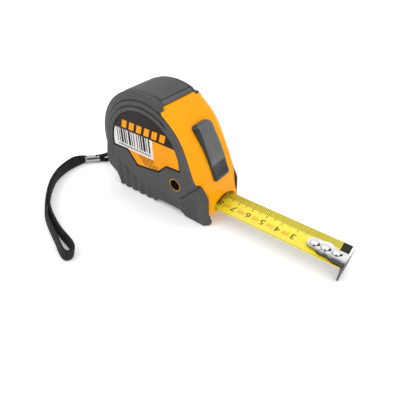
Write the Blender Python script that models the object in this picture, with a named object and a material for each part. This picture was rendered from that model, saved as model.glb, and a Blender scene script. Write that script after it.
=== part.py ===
"""A pocket tape measure with a wrist strap, as an assembly of separate solids.

Metres, +Z up.  +X is the way the blade is pulled out, -Y is the label side, and the
tape stands on Z = 0.  The origin is under the middle of the whole, without its strap.
"""

import math

import bmesh
import bpy
from mathutils import Vector

MM = 0.001


def mm(*values):
    """Millimetres to metres."""
    return tuple(v * MM for v in values)


# Driving dimensions of the case
REEL = mm(-43.35, 34.0)  # reel axis, (x, z)
FRONT = mm(-69.26, 8.56)  # centre of the front wall's arc, (x, z)
FRONT_R = 73.45 * MM
FRONT_LOW, FRONT_HIGH = 12.5, 55.0  # degrees along the front arc
GAP = 0.3 * MM  # clearance between touching pieces
SEAM = 0.15 * MM  # half the parting gap between the two shells
GRIP_R = 39.6 * MM  # outer radius of the rubber round the reel
SHELL_R = 37.4 * MM  # outer radius of the plastic under it
CAVITY_R = 35.6 * MM
GRIP_Y = 17.6 * MM  # half the width over the rubber
SHELL_Y = 15.2 * MM  # half the width over the plastic
BAND_Y = 17.2 * MM  # half the width of the exposed front band
CHAMFER_Y = 13.0 * MM  # where the front edge starts to fall back
BAND_FLAT = 0.25  # share of the band beside the rubber that stays flat
CAVITY_Y = 13.4 * MM
BULGE_Y = 11.3 * MM  # half the width of the rear bulge round the blade channel
FLOOR = 6.4 * MM  # cavity floor
CHANNEL_LOW, CHANNEL_HIGH = mm(-75.6, -10.4, 6.4), mm(-60.0, 10.4, 11.6)
SOLE = 4.6 * MM  # underside of the plastic
ARC_STEPS = 26

# Mouth: (middle, edge) heights of its dished bottom and of its arched top
MOUTH_HALF = 10.3 * MM
MOUTH_FLOOR = mm(6.75, 9.9)
MOUTH_ROOF = mm(14.6, 11.2)

# Label
LABEL_R = 28.5 * MM
LABEL_FOOT = [mm(-59.15, 32.0), mm(-51.65, 22.7), mm(-33.05, 25.1), mm(-25.75, 31.7)]
LABEL_Y0, LABEL_Y1 = mm(16.55, 16.95)
PLATFORM_Y = 16.25 * MM
PLATFORM_ROOT_Y = 14.8 * MM
LABEL_MARGIN = 0.35 * MM

# Where the crown, the front band and the rubber meet
CORNER_LOW, CORNER_HIGH = mm(-30.0, 11.0, 66.0), mm(-26.9, 15.55, 69.1)

# Top pad, as an arc round the reel
PAD_LOW, PAD_HIGH = 67.0, 115.5
PAD_Y = 12.8 * MM
PAD_R = 39.9 * MM

# Blade: 19 mm wide and dished, zero at its free end
BLADE_W = 19.0 * MM
BLADE_T = 0.3 * MM
BLADE_EDGE_Z = 10.2 * MM
BLADE_DISH = 2.2 * MM
BLADE_X0, BLADE_X1 = mm(1.0, 82.65)
COIL_R0, COIL_R1 = mm(13.3, 22.0)
LEAD_X0, LEAD_X1, LEAD_Z = mm(-41.0, -18.5, 11.1)

# Reel
DRUM_R = 13.0 * MM
DRUM_WALL = 1.4 * MM
FLANGE_R = 19.0 * MM
FLANGE_Y0, FLANGE_Y1 = mm(9.8, 10.8)
POST_R = 3.6 * MM
POST_Y = 13.1 * MM
BORE_R = 3.68 * MM
SPRING_R0, SPRING_R1 = mm(6.5, 11.1)
SPRING_TURNS = 4
SPRING_T = 0.45 * MM

# Hook
HOOK_LENGTH = 22.0 * MM
HOOK_T = 0.8 * MM
HOOK_Z = 9.0 * MM
HOOK_W = 9.6 * MM
HOOK_PLAY = 0.8 * MM
LEG_FOOT_Z = 0.35 * MM
LEG_W = 18.6 * MM
RIVETS_X = mm(64.6, 70.9, 77.2)
RIVET_R, RIVET_HEAD_R = mm(1.2, 2.5)

# Lock button on the front arc
BUTTON_LOW, BUTTON_HIGH = 13.0, 40.8
BUTTON_Y = 7.0 * MM
STEM_LOW, STEM_HIGH = 20.0, 31.0
LOCK_TRAVEL = 3.9
STEM_Y = 2.6 * MM

# Screws: name, x, z, side of the head
SCREWS = [
    ("screw_front_low", *mm(-19.85, 21.4), -1),
    ("screw_rear_low", *mm(-67.0, 16.5), 1),
    ("screw_front_top", *mm(-23.5, 58.0), 1),
]
BOSS_R, SCREW_R, SCREW_HOLE_R = mm(3.3, 1.3, 1.6)
HEAD_R, RECESS_R, RIM_R, RIM_CLEAR_R = mm(2.9, 3.4, 4.1, 4.5)
HEAD_Y0, RIM_Y = mm(12.9, 16.9)
SEAT_R, SEAT_Y = mm(4.9, 11.2)
CENTRE_SEAT_Y = 14.0 * MM

# Wrist strap, laid on the table beside the case
PIN_X, PIN_Z, PIN_R = mm(-80.35, 15.0, 1.0)
CORD_R = 1.3 * MM
CORD_GAP = 0.2 * MM
SLOT_Y, SLOT_X, SLOT_RISE = mm(3.4, -76.2, 4.1)
EAR_Y = 7.0 * MM
EAR = [
    mm(-77.0, 10.6),
    mm(-77.0, 19.4),
    mm(-80.6, 19.4),
    mm(-82.2, 17.6),
    mm(-82.2, 12.4),
    mm(-80.6, 10.6),
]
FERRULE_A, FERRULE_B = Vector(mm(-105.4, -6.7, 2.7)), Vector(mm(-112.8, -14.8, 2.7))
FERRULE_R = 2.6 * MM
WEB_T, WEB_W = mm(1.2, 8.0)
CORD_ROUTE = [
    mm(-104.6, -5.8, 4.2),
    mm(-101.2, -3.4, 5.6),
    mm(-97.0, -1.6, 8.0),
    mm(-92.0, -0.5, 11.5),
    mm(-87.0, 0.0, 15.1),
    mm(-83.2, 0.0, 17.0),
]
CORD_RETURN = [
    mm(-83.2, 0.0, 13.0),
    mm(-87.0, 0.0, 10.4),
    mm(-92.0, -0.6, 6.8),
    mm(-97.0, -2.2, 3.5),
    mm(-101.0, -4.4, 1.8),
    mm(-104.3, -6.6, 1.4),
]
WEB_OUT = [
    mm(-113.86, -14.78),
    mm(-115.3, -18.0),
    mm(-115.9, -21.5),
    mm(-116.0, -25.5),
    mm(-115.8, -30.0),
    mm(-114.7, -36.0),
    mm(-112.0, -43.0),
    mm(-106.8, -50.2),
    mm(-99.3, -57.8),
    mm(-90.6, -64.9),
    mm(-82.0, -70.2),
    mm(-73.0, -74.0),
    mm(-64.5, -77.2),
    mm(-56.0, -80.3),
    mm(-49.5, -82.9),
    mm(-45.3, -84.2),
]
WEB_BEND = [mm(-42.2, -84.4), mm(-40.6, -82.9), mm(-41.0, -80.6), mm(-43.8, -78.6)]
WEB_BACK = [
    mm(-50.0, -76.9),
    mm(-57.5, -75.5),
    mm(-65.5, -73.4),
    mm(-73.5, -70.4),
    mm(-81.5, -66.5),
    mm(-89.0, -61.6),
    mm(-97.0, -55.3),
    mm(-103.0, -49.4),
    mm(-107.3, -44.1),
    mm(-110.6, -37.8),
    mm(-112.6, -31.2),
    mm(-113.3, -25.2),
    mm(-113.2, -19.6),
    mm(-112.68, -15.86),
]
# The far end of the loop leans over, its top edge further out than its bottom one
WEB_LEAN = Vector(mm(1.8, 1.2, 0.0))
LEAN_FROM, LEAN_FULL = mm(-20.0, -45.0)

COLOURS = {
    "abs_orange": ((1.0, 0.42, 0.02, 1), 0.3, 0.0),
    "grip_rubber": ((0.05, 0.052, 0.055, 1), 0.75, 0.0),
    "label_print": ((0.9, 0.4, 0.03, 1), 0.45, 0.0),
    "black_plastic": ((0.03, 0.032, 0.035, 1), 0.4, 0.0),
    "inner_plastic": ((0.02, 0.02, 0.02, 1), 0.6, 0.0),
    "blade_yellow": ((0.85, 0.72, 0.05, 1), 0.35, 0.0),
    "spring_steel": ((0.35, 0.36, 0.38, 1), 0.3, 1.0),
    "hook_chrome": ((0.8, 0.8, 0.82, 1), 0.15, 1.0),
    "screw_steel": ((0.1, 0.1, 0.1, 1), 0.4, 1.0),
    "brake_rubber": ((0.03, 0.03, 0.03, 1), 0.9, 0.0),
    "strap_cloth": ((0.02, 0.02, 0.022, 1), 0.9, 0.0),
    "ferrule_metal": ((0.75, 0.75, 0.77, 1), 0.25, 1.0),
}


# Scene helpers
def clear_scene():
    for old in list(bpy.data.objects):
        bpy.data.objects.remove(old)


def material(slot):
    """The slot's Principled material, made once."""
    found = bpy.data.materials.get(slot)
    if found:
        return found
    colour, roughness, metallic = COLOURS[slot]
    made = bpy.data.materials.new(slot)
    made.use_nodes = True
    shader = made.node_tree.nodes["Principled BSDF"]
    shader.inputs["Base Color"].default_value = colour
    shader.inputs["Roughness"].default_value = roughness
    shader.inputs["Metallic"].default_value = metallic
    made.diffuse_color = colour
    return made


def finish_mesh(name, bm, slot=None):
    """Closes a bmesh into a linked object with its faces pointing out."""
    bmesh.ops.recalc_face_normals(bm, faces=bm.faces)
    mesh = bpy.data.meshes.new(name)
    bm.to_mesh(mesh)
    bm.free()
    made = bpy.data.objects.new(name, mesh)
    bpy.context.scene.collection.objects.link(made)
    if slot:
        mesh.materials.append(material(slot))
        mesh.shade_smooth()
        mesh.set_sharp_from_angle(angle=math.radians(35))
    return made


def guide(made):
    """Marks a cutter or a union operand, which isn't a part itself."""
    made.hide_render = True
    made.display_type = "WIRE"
    return made


def boolean(target, operand, operation):
    step = target.modifiers.new(operand.name, "BOOLEAN")
    step.operation = operation
    step.solver = "EXACT"
    step.object = guide(operand)


def cut(target, operand):
    boolean(target, operand, "DIFFERENCE")


def add(target, operand):
    boolean(target, operand, "UNION")


def axis_empty(name, place):
    """An empty on a joint's axis, which the moving pieces hang from."""
    empty = bpy.data.objects.new(name, None)
    empty.location = place
    bpy.context.scene.collection.objects.link(empty)
    bpy.context.view_layer.update()
    return empty


def hang(made, empty):
    made.parent = empty
    made.matrix_parent_inverse = empty.matrix_world.inverted()


# Shape helpers
def arc(centre, radius, low, high, steps=ARC_STEPS):
    """Points of a circle in the XZ plane, from one angle to another in degrees."""
    angles = [math.radians(low + (high - low) * i / steps) for i in range(steps + 1)]
    return [(centre[0] + radius * math.cos(a), centre[1] + radius * math.sin(a)) for a in angles]


def offset(outline, distance):
    """A counter-clockwise outline moved inwards by distance."""
    moved = []
    for i, (x, z) in enumerate(outline):
        before = Vector(outline[i - 1])
        after = Vector(outline[(i + 1) % len(outline)])
        here = Vector((x, z))
        a = (here - before).normalized()
        b = (after - here).normalized()
        na, nb = Vector((-a.y, a.x)), Vector((-b.y, b.x))
        step = (na + nb) * (distance / max(1.0 + na.dot(nb), 0.5))
        moved.append(tuple(here + step))
    return moved


def loft(name, rings, slot=None):
    """A solid skinned over rings of equally many points, with flat ends."""
    bm = bmesh.new()
    rows = [[bm.verts.new(p) for p in ring] for ring in rings]
    count = len(rings[0])
    for low, high in zip(rows, rows[1:]):
        for i in range(count):
            j = (i + 1) % count
            bm.faces.new((low[i], low[j], high[j], high[i]))
    bm.faces.new(rows[0])
    bm.faces.new(rows[-1])
    return finish_mesh(name, bm, slot)


def prism(name, outline, y0, y1, slot=None):
    """An XZ outline extruded along Y."""
    return loft(name, [[(x, y, z) for x, z in outline] for y in (y0, y1)], slot)


def box(name, low, high, slot=None):
    outline = [(low[0], low[2]), (high[0], low[2]), (high[0], high[2]), (low[0], high[2])]
    return prism(name, outline, low[1], high[1], slot)


def side_box(side, low, high):
    """A box's corners given for the +Y half, mirrored to the wanted half."""
    ys = sorted((side * low[1], side * high[1]))
    return (low[0], ys[0], low[2]), (high[0], ys[1], high[2])


def turned(name, profile, centre, steps, slot=None, ring=False):
    """A profile of (radius, y) turned round a Y axis; ring joins its two ends."""
    bm = bmesh.new()
    rows = []
    for i in range(steps):
        a = 2 * math.pi * i / steps
        c, s = math.cos(a), math.sin(a)
        rows.append([bm.verts.new((centre[0] + r * c, y, centre[1] + r * s)) for r, y in profile])
    count = len(profile)
    for i in range(steps):
        near, far = rows[i], rows[(i + 1) % steps]
        for j in range(count if ring else count - 1):
            k = (j + 1) % count
            bm.faces.new((near[j], near[k], far[k], far[j]))
    if not ring:
        bm.faces.new([row[0] for row in rows])
        bm.faces.new([row[-1] for row in rows])
    return finish_mesh(name, bm, slot)


def rod(name, centre, radius, y0, y1, steps=24, slot=None):
    return turned(name, [(radius, y0), (radius, y1)], centre, steps, slot)


def spline(points, spacing):
    """A smooth curve through points, read at even steps."""
    line = [Vector(p) for p in points]
    fine = []
    for i in range(len(line) - 1):
        p0, p1 = line[max(i - 1, 0)], line[i]
        p2, p3 = line[i + 1], line[min(i + 2, len(line) - 1)]
        for k in range(12):
            t = k / 12
            a = 2 * p1 + (p2 - p0) * t
            b = (2 * p0 - 5 * p1 + 4 * p2 - p3) * t * t
            c = (3 * p1 - p0 - 3 * p2 + p3) * t * t * t
            fine.append((a + b + c) / 2)
    fine.append(line[-1])
    total = sum((b - a).length for a, b in zip(fine, fine[1:]))
    count = max(2, round(total / spacing))
    kept, walked, at = [fine[0]], 0.0, 1
    for a, b in zip(fine, fine[1:]):
        walked += (b - a).length
        while at < count and walked >= total * at / count:
            kept.append(b - (b - a) * ((walked - total * at / count) / (b - a).length))
            at += 1
    kept.append(fine[-1])
    return kept


# Outlines of the case, counter-clockwise in XZ
SHELL_REAR_SIDE = [
    mm(-79.9, 19.5),
    mm(-78.0, 15.2),
    mm(-75.3, 13.0),
    mm(-71.9, 10.4),
    mm(-69.9, 5.4),
    (-69.4 * MM, SOLE),
]
SHELL_REAR_MIDDLE = [
    mm(-80.0, 18.6),
    mm(-78.6, 14.8),
    mm(-77.1, 12.2),
    mm(-76.9, 8.9),
    mm(-76.7, 5.8),
    (-75.6 * MM, SOLE),
]


def front_arc(inset, steps=18):
    return arc(FRONT, FRONT_R - inset, FRONT_LOW, FRONT_HIGH, steps)


def shell_outline(at_side, front_inset=0.0):
    """The plastic's jaw, front arc, crown and rear, which is fuller in the middle."""
    jaw = [
        (-6.0 * MM, SOLE),
        (2.6 * MM - front_inset, 6.0 * MM),
        (5.2 * MM - front_inset, 8.0 * MM),
        (5.2 * MM - front_inset, 9.8 * MM),
        (3.9 * MM - front_inset, 12.6 * MM),
        (3.2 * MM - front_inset, 18.0 * MM),
    ]
    crown = arc(REEL, SHELL_R, 68.0, 190.0)
    rear = SHELL_REAR_SIDE if at_side else SHELL_REAR_MIDDLE
    return jaw + front_arc(front_inset) + crown + rear


GRIP_EDGE = [
    mm(-3.9, 27.0),
    mm(-5.3, 30.5),
    mm(-7.05, 35.5),
    mm(-9.55, 43.0),
    mm(-12.4, 50.0),
    mm(-16.6, 56.6),
    mm(-21.6, 61.6),
    mm(-25.9, 65.2),
    mm(-26.7, 67.0),
]
GRIP_REAR_SIDE = [
    mm(-81.9, 18.5),
    mm(-79.5, 13.2),
    mm(-76.8, 11.2),
    mm(-73.7, 9.0),
    mm(-72.0, 4.8),
    mm(-71.0, 0.0),
]
GRIP_REAR_MIDDLE = [
    mm(-82.2, 18.0),
    mm(-80.9, 14.0),
    mm(-79.3, 11.5),
    mm(-79.0, 8.0),
    mm(-78.6, 3.0),
    mm(-76.0, 0.0),
]


def grip_side_outline():
    """The rubber's side: foot, edge along the plastic, crown, rear and base."""
    foot = [mm(2.55, 0.0), mm(2.55, 18.7), mm(-1.3, 27.2)]
    crown = arc(REEL, GRIP_R, 65.5, 190.0)
    base = [mm(-38.5, 0.0), mm(-35.5, 2.8), mm(-15.5, 2.8), mm(-12.5, 0.0)]
    return foot + GRIP_EDGE + crown + GRIP_REAR_SIDE + base


def grip_middle_outline():
    """The rubber between the two sides, which ends behind the jaw."""
    front = [mm(-12.5, 0.0), mm(-7.0, 2.8), mm(-5.0, 8.0)]
    crown = arc(REEL, GRIP_R, 68.0, 190.0)
    base = [mm(-38.5, 0.0), mm(-35.5, 2.8), mm(-15.5, 2.8), mm(-14.0, 0.0)]
    return front + crown + GRIP_REAR_MIDDLE + base


def label_outline(inset):
    rim = arc(REEL, LABEL_R, -3.4, 184.6, 36)
    return offset(rim + LABEL_FOOT, inset)


def cavity_outline():
    front = arc(FRONT, FRONT_R - 2.1 * MM, 13.0, 54.0, 14)
    crown = arc(REEL, CAVITY_R, 69.0, 187.0)
    rear = [mm(-77.4, 24.0), mm(-75.6, 21.0), mm(-75.6, 15.8), mm(-70.6, 12.0), (-68.6 * MM, FLOOR)]
    return [(-2.6 * MM, FLOOR), mm(-0.6, 12.5)] + front + crown + rear


# The two case halves
def shell_body(name, side, grow, slot=None):
    """The solid of one half, before it is hollowed; grow fattens it to cut clearance."""
    middle = offset(shell_outline(False), -grow)
    flank = offset(shell_outline(True), -grow)
    flank_back = offset(shell_outline(True, 2.0 * MM), -grow)
    body = prism(name, middle, side * (SEAM - grow), side * BULGE_Y, slot)
    rows = [(BULGE_Y - 0.5 * MM, flank), (CHAMFER_Y, flank), (SHELL_Y + grow, flank_back)]
    add(body, loft(f"{name}_flank", [[(x, side * y, z) for x, z in ring] for y, ring in rows]))
    root = side * PLATFORM_ROOT_Y
    plateau = label_outline(LABEL_MARGIN - grow)
    add(body, prism(f"{name}_platform", plateau, root, side * (PLATFORM_Y + grow)))
    x, z = SCREWS[0][1:3]
    if side == SCREWS[0][3]:
        add(body, rod(f"{name}_rim", (x, z), RIM_R + grow, root, side * (RIM_Y + grow)))
    add(body, prism(f"{name}_ear", offset(EAR, -grow), side * (SLOT_Y - MM), side * (EAR_Y + grow)))
    return body


def front_band(name, side):
    """The exposed plastic beside the front face, which slopes back to the rubber."""
    edge = [(x + GAP, z + GAP) for x, z in GRIP_EDGE]
    spans = [(CHAMFER_Y - 0.6 * MM, 1.0), (CHAMFER_Y, 1.0), (BAND_Y, BAND_FLAT)]
    rings = []
    for y, share in spans:
        face = []
        for x, z in reversed(edge):
            arm = Vector((x - FRONT[0], z - FRONT[1]))
            reach = arm.length + (FRONT_R - 0.3 * MM - arm.length) * share
            face.append((FRONT[0] + arm.x * reach / arm.length, FRONT[1] + arm.y * reach / arm.length))
        rings.append([(x, side * y, z) for x, z in edge + face])
    return loft(name, rings)


def mouth_cutter(side):
    """The lens-shaped mouth: dished below like the blade, arched above."""
    steps = 12
    floor, roof = [], []
    for i in range(steps + 1):
        t = -1 + 2 * i / steps
        floor.append((MOUTH_HALF * t, MOUTH_FLOOR[0] + (MOUTH_FLOOR[1] - MOUTH_FLOOR[0]) * t * t))
        roof.append((-MOUTH_HALF * t, MOUTH_ROOF[0] + (MOUTH_ROOF[1] - MOUTH_ROOF[0]) * t * t))
    ring = floor + roof
    rings = [[(x, y, z) for y, z in ring] for x in (-8.0 * MM, 9.0 * MM)]
    return loft(f"mouth_{side}", rings)


def channel_cutter(side):
    """The straight way under the reel that the blade runs back into."""
    return box(f"channel_{side}", CHANNEL_LOW, CHANNEL_HIGH)


def button_slot_cutter(side):
    low, high = STEM_LOW - 0.5, STEM_HIGH + LOCK_TRAVEL + 0.5
    outer = arc(FRONT, FRONT_R + 3 * MM, low, high, 8)
    inner = arc(FRONT, FRONT_R - 5 * MM, high, low, 8)
    reach = STEM_Y + GAP
    return prism(f"button_slot_{side}", outer + inner, -reach, reach)


def lanyard_slot_cutter(name, reach):
    return box(name, (-95 * MM, -reach, PIN_Z - SLOT_RISE), (SLOT_X, reach, PIN_Z + SLOT_RISE))


def pin_hole_cutter(side):
    return rod(f"pin_hole_{side}", (PIN_X, PIN_Z), PIN_R + 0.2 * MM, -side * MM, side * 6.4 * MM, 16)


def screw_cutters(shell, side):
    """Bosses for the screws, then their holes and the recesses for the heads."""
    for name, x, z, head_side in SCREWS:
        add(shell, rod(f"{name}_boss_{side}", (x, z), BOSS_R, side * SEAM, side * 14.0 * MM, 20))
        if head_side == side:
            add(shell, rod(f"{name}_seat_{side}", (x, z), SEAT_R, side * SEAT_Y, side * 14.0 * MM, 24))
    for name, x, z, head_side in SCREWS:
        through = head_side == side
        end = 20 * MM if through else 11 * MM
        cut(shell, rod(f"{name}_hole_{side}", (x, z), SCREW_HOLE_R, -side * MM, side * end, 16))
        if through:
            seat = HEAD_Y0 - GAP
            cut(shell, rod(f"{name}_recess_{side}", (x, z), RECESS_R, side * seat, side * 20 * MM, 24))
    if side > 0:
        cut(shell, rod("centre_hole", REEL, SCREW_HOLE_R, 12 * MM, 20 * MM, 16))
        cut(shell, rod("centre_recess", REEL, RECESS_R, CENTRE_SEAT_Y, 20 * MM, 24))


def case_shell(name, side):
    shell = shell_body(name, side, 0.0, "abs_orange")
    add(shell, front_band(f"{name}_band", side))
    cut(shell, prism(f"cavity_{side}", cavity_outline(), -side * 2 * MM, side * CAVITY_Y))
    cut(shell, channel_cutter(side))
    screw_cutters(shell, side)
    cut(shell, mouth_cutter(side))
    cut(shell, button_slot_cutter(side))
    cut(shell, lanyard_slot_cutter(f"lanyard_slot_{side}", SLOT_Y))
    cut(shell, pin_hole_cutter(side))
    return shell


def grip_rubber(name, side):
    """The soft overmould of one half, which wraps its crown, rear and base."""
    flank = grip_side_outline()
    rows = [(BULGE_Y + 0.1 * MM, 0.0), (GRIP_Y - 1.6 * MM, 0.0), (GRIP_Y, 1.2 * MM)]
    rings = [[(x, side * y, z) for x, z in soften(flank, inset)] for y, inset in rows]
    grip = loft(name, rings, "grip_rubber")
    add(grip, prism(f"{name}_wrap", grip_middle_outline(), side * SEAM, side * (BULGE_Y + 0.4 * MM)))
    cut(grip, shell_body(f"{name}_clearance", side, GAP))
    cut(grip, prism(f"{name}_hollow", offset(cavity_outline(), -1.0 * MM), -side * MM, side * SHELL_Y))
    cut(grip, prism(f"{name}_window", label_outline(0.0), side * 14 * MM, side * 20 * MM))
    cut(grip, pad_clearance(side))
    cut(grip, box(f"{name}_corner", *side_box(side, CORNER_LOW, CORNER_HIGH)))
    cut(grip, lanyard_slot_cutter(f"{name}_lanyard", SLOT_Y))
    for screw, x, z, head_side in SCREWS:
        if head_side == side:
            radius = RIM_CLEAR_R if screw == SCREWS[0][0] else RECESS_R
            cut(grip, rod(f"{screw}_clear", (x, z), radius, side * 14 * MM, side * 20 * MM))
    return grip


def soften(outline, inset):
    """Draws an outline in, but keeps its base on the ground and its foot in place."""
    drawn = offset(outline, inset)
    return [(x, max(z, 0.0) if old > 0.5 * MM else old) for (x, z), (_, old) in zip(drawn, outline)]


def pad_clearance(side):
    outer = arc(REEL, PAD_R + 4 * MM, PAD_LOW - 8, PAD_HIGH + 0.6, 16)
    inner = arc(REEL, SHELL_R - MM, PAD_HIGH + 0.6, PAD_LOW - 8, 16)
    return prism(f"pad_clearance_{side}", outer + inner, -side * MM, side * (PAD_Y + GAP))


def top_grip_pad():
    rows = [(-PAD_Y, 1.0 * MM), (-PAD_Y + 2 * MM, 0.0), (PAD_Y - 2 * MM, 0.0), (PAD_Y, 1.0 * MM)]
    rings = []
    for y, drop in rows:
        outer = arc(REEL, PAD_R - drop, PAD_LOW, PAD_HIGH, 16)
        inner = arc(REEL, SHELL_R + GAP, PAD_HIGH, PAD_LOW, 16)
        rings.append([(x, y, z) for x, z in outer + inner])
    return loft("top_grip_pad", rings, "grip_rubber")


def labels():
    for name, side in (("side_label_left", -1), ("side_label_right", 1)):
        prism(name, label_outline(LABEL_MARGIN), side * LABEL_Y0, side * LABEL_Y1, "label_print")


# Fasteners and the fixed inner pieces
def screw(name, centre, side, head_y, tip_y):
    """A pan head with a shank that runs through to the other half."""
    profile = [
        (HEAD_R * 0.55, side * (head_y + 1.8 * MM)),
        (HEAD_R, side * (head_y + 1.1 * MM)),
        (HEAD_R, side * head_y),
        (SCREW_R, side * head_y),
        (SCREW_R, side * tip_y),
    ]
    return turned(name, profile, centre, 20, "screw_steel")


def fixed_pieces():
    for name, x, z, side in SCREWS:
        screw(name, (x, z), side, HEAD_Y0, -10.0 * MM)
    screw("screw_centre", REEL, 1, CENTRE_SEAT_Y + GAP, 2.0 * MM)
    post = rod("centre_post", REEL, POST_R, -POST_Y, POST_Y, 28, "spring_steel")
    cut(post, rod("post_bore", REEL, SCREW_HOLE_R, 1.0 * MM, 20 * MM, 16))
    rod("lanyard_pin", (PIN_X, PIN_Z), PIN_R, -6.1 * MM, 6.1 * MM, 16, "spring_steel")
    half = BLADE_W / 2
    box("blade_lead", (LEAD_X0, -half, LEAD_Z), (LEAD_X1, half, LEAD_Z + BLADE_T), "blade_yellow")


# Reel
def reel_drum():
    """The spool: a tube with a web and flange on the label side, open on the other."""
    inner = DRUM_R - DRUM_WALL
    profile = [
        (BORE_R, -FLANGE_Y1),
        (FLANGE_R, -FLANGE_Y1),
        (FLANGE_R, -FLANGE_Y0),
        (DRUM_R, -FLANGE_Y0),
        (DRUM_R, FLANGE_Y0 - GAP),
        (inner, FLANGE_Y0 - GAP),
        (inner, -FLANGE_Y0 + 0.4 * MM),
        (BORE_R, -FLANGE_Y0 + 0.4 * MM),
    ]
    return turned("reel_drum", profile, REEL, 32, "inner_plastic", ring=True)


def reel_cover():
    profile = [(BORE_R, FLANGE_Y0), (FLANGE_R, FLANGE_Y0), (FLANGE_R, FLANGE_Y1), (BORE_R, FLANGE_Y1)]
    return turned("reel_cover", profile, REEL, 32, "inner_plastic", ring=True)


def blade_coil():
    half = BLADE_W / 2
    profile = [(COIL_R0, -half), (COIL_R1, -half), (COIL_R1, half), (COIL_R0, half)]
    return turned("blade_coil", profile, REEL, 36, "blade_yellow", ring=True)


def power_spring():
    """The clock spring, a spiral strip between the post and the drum wall."""
    half = 8.8 * MM
    per_turn = 18
    count = SPRING_TURNS * per_turn
    rings = []
    for i in range(count + 1):
        a = 2 * math.pi * i / per_turn
        r = SPRING_R0 + (SPRING_R1 - SPRING_R0) * i / count
        c, s = math.cos(a), math.sin(a)
        corners = [(r, -half), (r + SPRING_T, -half), (r + SPRING_T, half), (r, half)]
        rings.append([(REEL[0] + q * c, y, REEL[1] + q * s) for q, y in corners])
    return loft("power_spring", rings, "spring_steel")


def reel():
    pieces = [reel_drum(), reel_cover(), blade_coil(), power_spring()]
    empty = axis_empty("reel_axis", (REEL[0], 0.0, REEL[1]))
    for piece in pieces:
        hang(piece, empty)


# Blade and hook
def blade():
    """The pulled-out stretch, dished so that it stands out straight."""
    steps = 8
    half = BLADE_W / 2
    low, high = [], []
    for i in range(steps + 1):
        t = -1 + 2 * i / steps
        z = BLADE_EDGE_Z - BLADE_DISH * (1 - t * t)
        low.append((half * t, z - BLADE_T))
        high.append((half * t, z))
    ring = low + high[::-1]
    rings = [[(x, y, z) for y, z in ring] for x in (BLADE_X0, BLADE_X1)]
    strip = loft("blade", rings, "blade_yellow")
    hole = RIVET_R + 0.2 * MM
    for i, x in enumerate(RIVETS_X):
        cut(strip, upright(f"rivet_hole_{i}", x, [(hole, 5 * MM), (hole, 12 * MM)], 14))
    return strip


def upright(name, x, levels, steps, slot=None):
    """A solid turned round a vertical axis on the blade's middle, from (radius, z) levels."""
    angles = [2 * math.pi * i / steps for i in range(steps)]
    rings = [[(x + r * math.cos(a), r * math.sin(a), z) for a in angles] for r, z in levels]
    return loft(name, rings, slot)


def rivet(name, x):
    """A domed rivet, its tail spread under the blade."""
    top = HOOK_Z + HOOK_T + GAP
    bottom = BLADE_EDGE_Z - BLADE_DISH - BLADE_T - GAP
    levels = [
        (RIVET_HEAD_R * 0.5, top + 0.8 * MM),
        (RIVET_HEAD_R * 0.88, top + 0.5 * MM),
        (RIVET_HEAD_R, top),
        (RIVET_R, top),
        (RIVET_R, bottom),
        (RIVET_R * 1.5, bottom),
        (RIVET_R * 1.5, bottom - 0.35 * MM),
    ]
    return upright(name, x, levels, 16, "hook_chrome")


def end_hook():
    """A plate with slotted holes that slides on the rivets, and a full-width leg."""
    rear = BLADE_X1 - HOOK_LENGTH
    tip = BLADE_X1 + GAP + HOOK_T
    half = HOOK_W / 2
    turn = [math.radians(d) for d in range(75, -76, -15)]
    nose = [(rear + half * (1 - math.cos(a)), half * math.sin(a)) for a in turn]
    shoulder = rear + 12 * MM
    plate = nose + [(shoulder, -half), (tip, -half - MM), (tip, half + MM), (shoulder, half)]
    levels = (HOOK_Z, HOOK_Z + HOOK_T)
    hook = loft("end_hook", [[(x, y, z) for x, y in plate] for z in levels], "hook_chrome")
    w, foot = LEG_W / 2, LEG_FOOT_Z
    leg = [(-w, 10.4 * MM), (-w, 6 * MM), (-w + MM, foot + 2 * MM), (-w + 3 * MM, foot)]
    leg += [(-y, z) for y, z in reversed(leg)]
    x0, x1 = BLADE_X1 + GAP, tip + 0.05 * MM
    add(hook, loft("hook_leg", [[(x, y, z) for y, z in leg] for x in (x0, x1)]))
    for i, x in enumerate(RIVETS_X):
        reach = HOOK_PLAY
        arc_points = []
        for k in range(9):
            a = -math.pi / 2 + math.pi * k / 8
            arc_points.append((x + reach + (RIVET_R + GAP) * math.cos(a), (RIVET_R + GAP) * math.sin(a)))
        slot = arc_points + [(2 * x - px, -py) for px, py in arc_points]
        cut(hook, loft(f"hook_slot_{i}", [[(px, py, z) for px, py in slot] for z in (7 * MM, 12 * MM)]))
    return hook


def blade_group():
    slide = axis_empty("blade_axis", (BLADE_X1, 0.0, BLADE_EDGE_Z))
    hang(blade(), slide)
    for name, x in zip(("rivet_rear", "rivet_middle", "rivet_front"), RIVETS_X):
        hang(rivet(name, x), slide)
    play = axis_empty("hook_axis", (BLADE_X1, 0.0, HOOK_Z))
    play.parent = slide
    play.matrix_parent_inverse = slide.matrix_world.inverted()
    bpy.context.view_layer.update()
    hang(end_hook(), play)


# Lock button
def on_front(angle, height):
    a = math.radians(angle)
    r = FRONT_R + height
    return (FRONT[0] + r * math.cos(a), FRONT[1] + r * math.sin(a))


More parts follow.
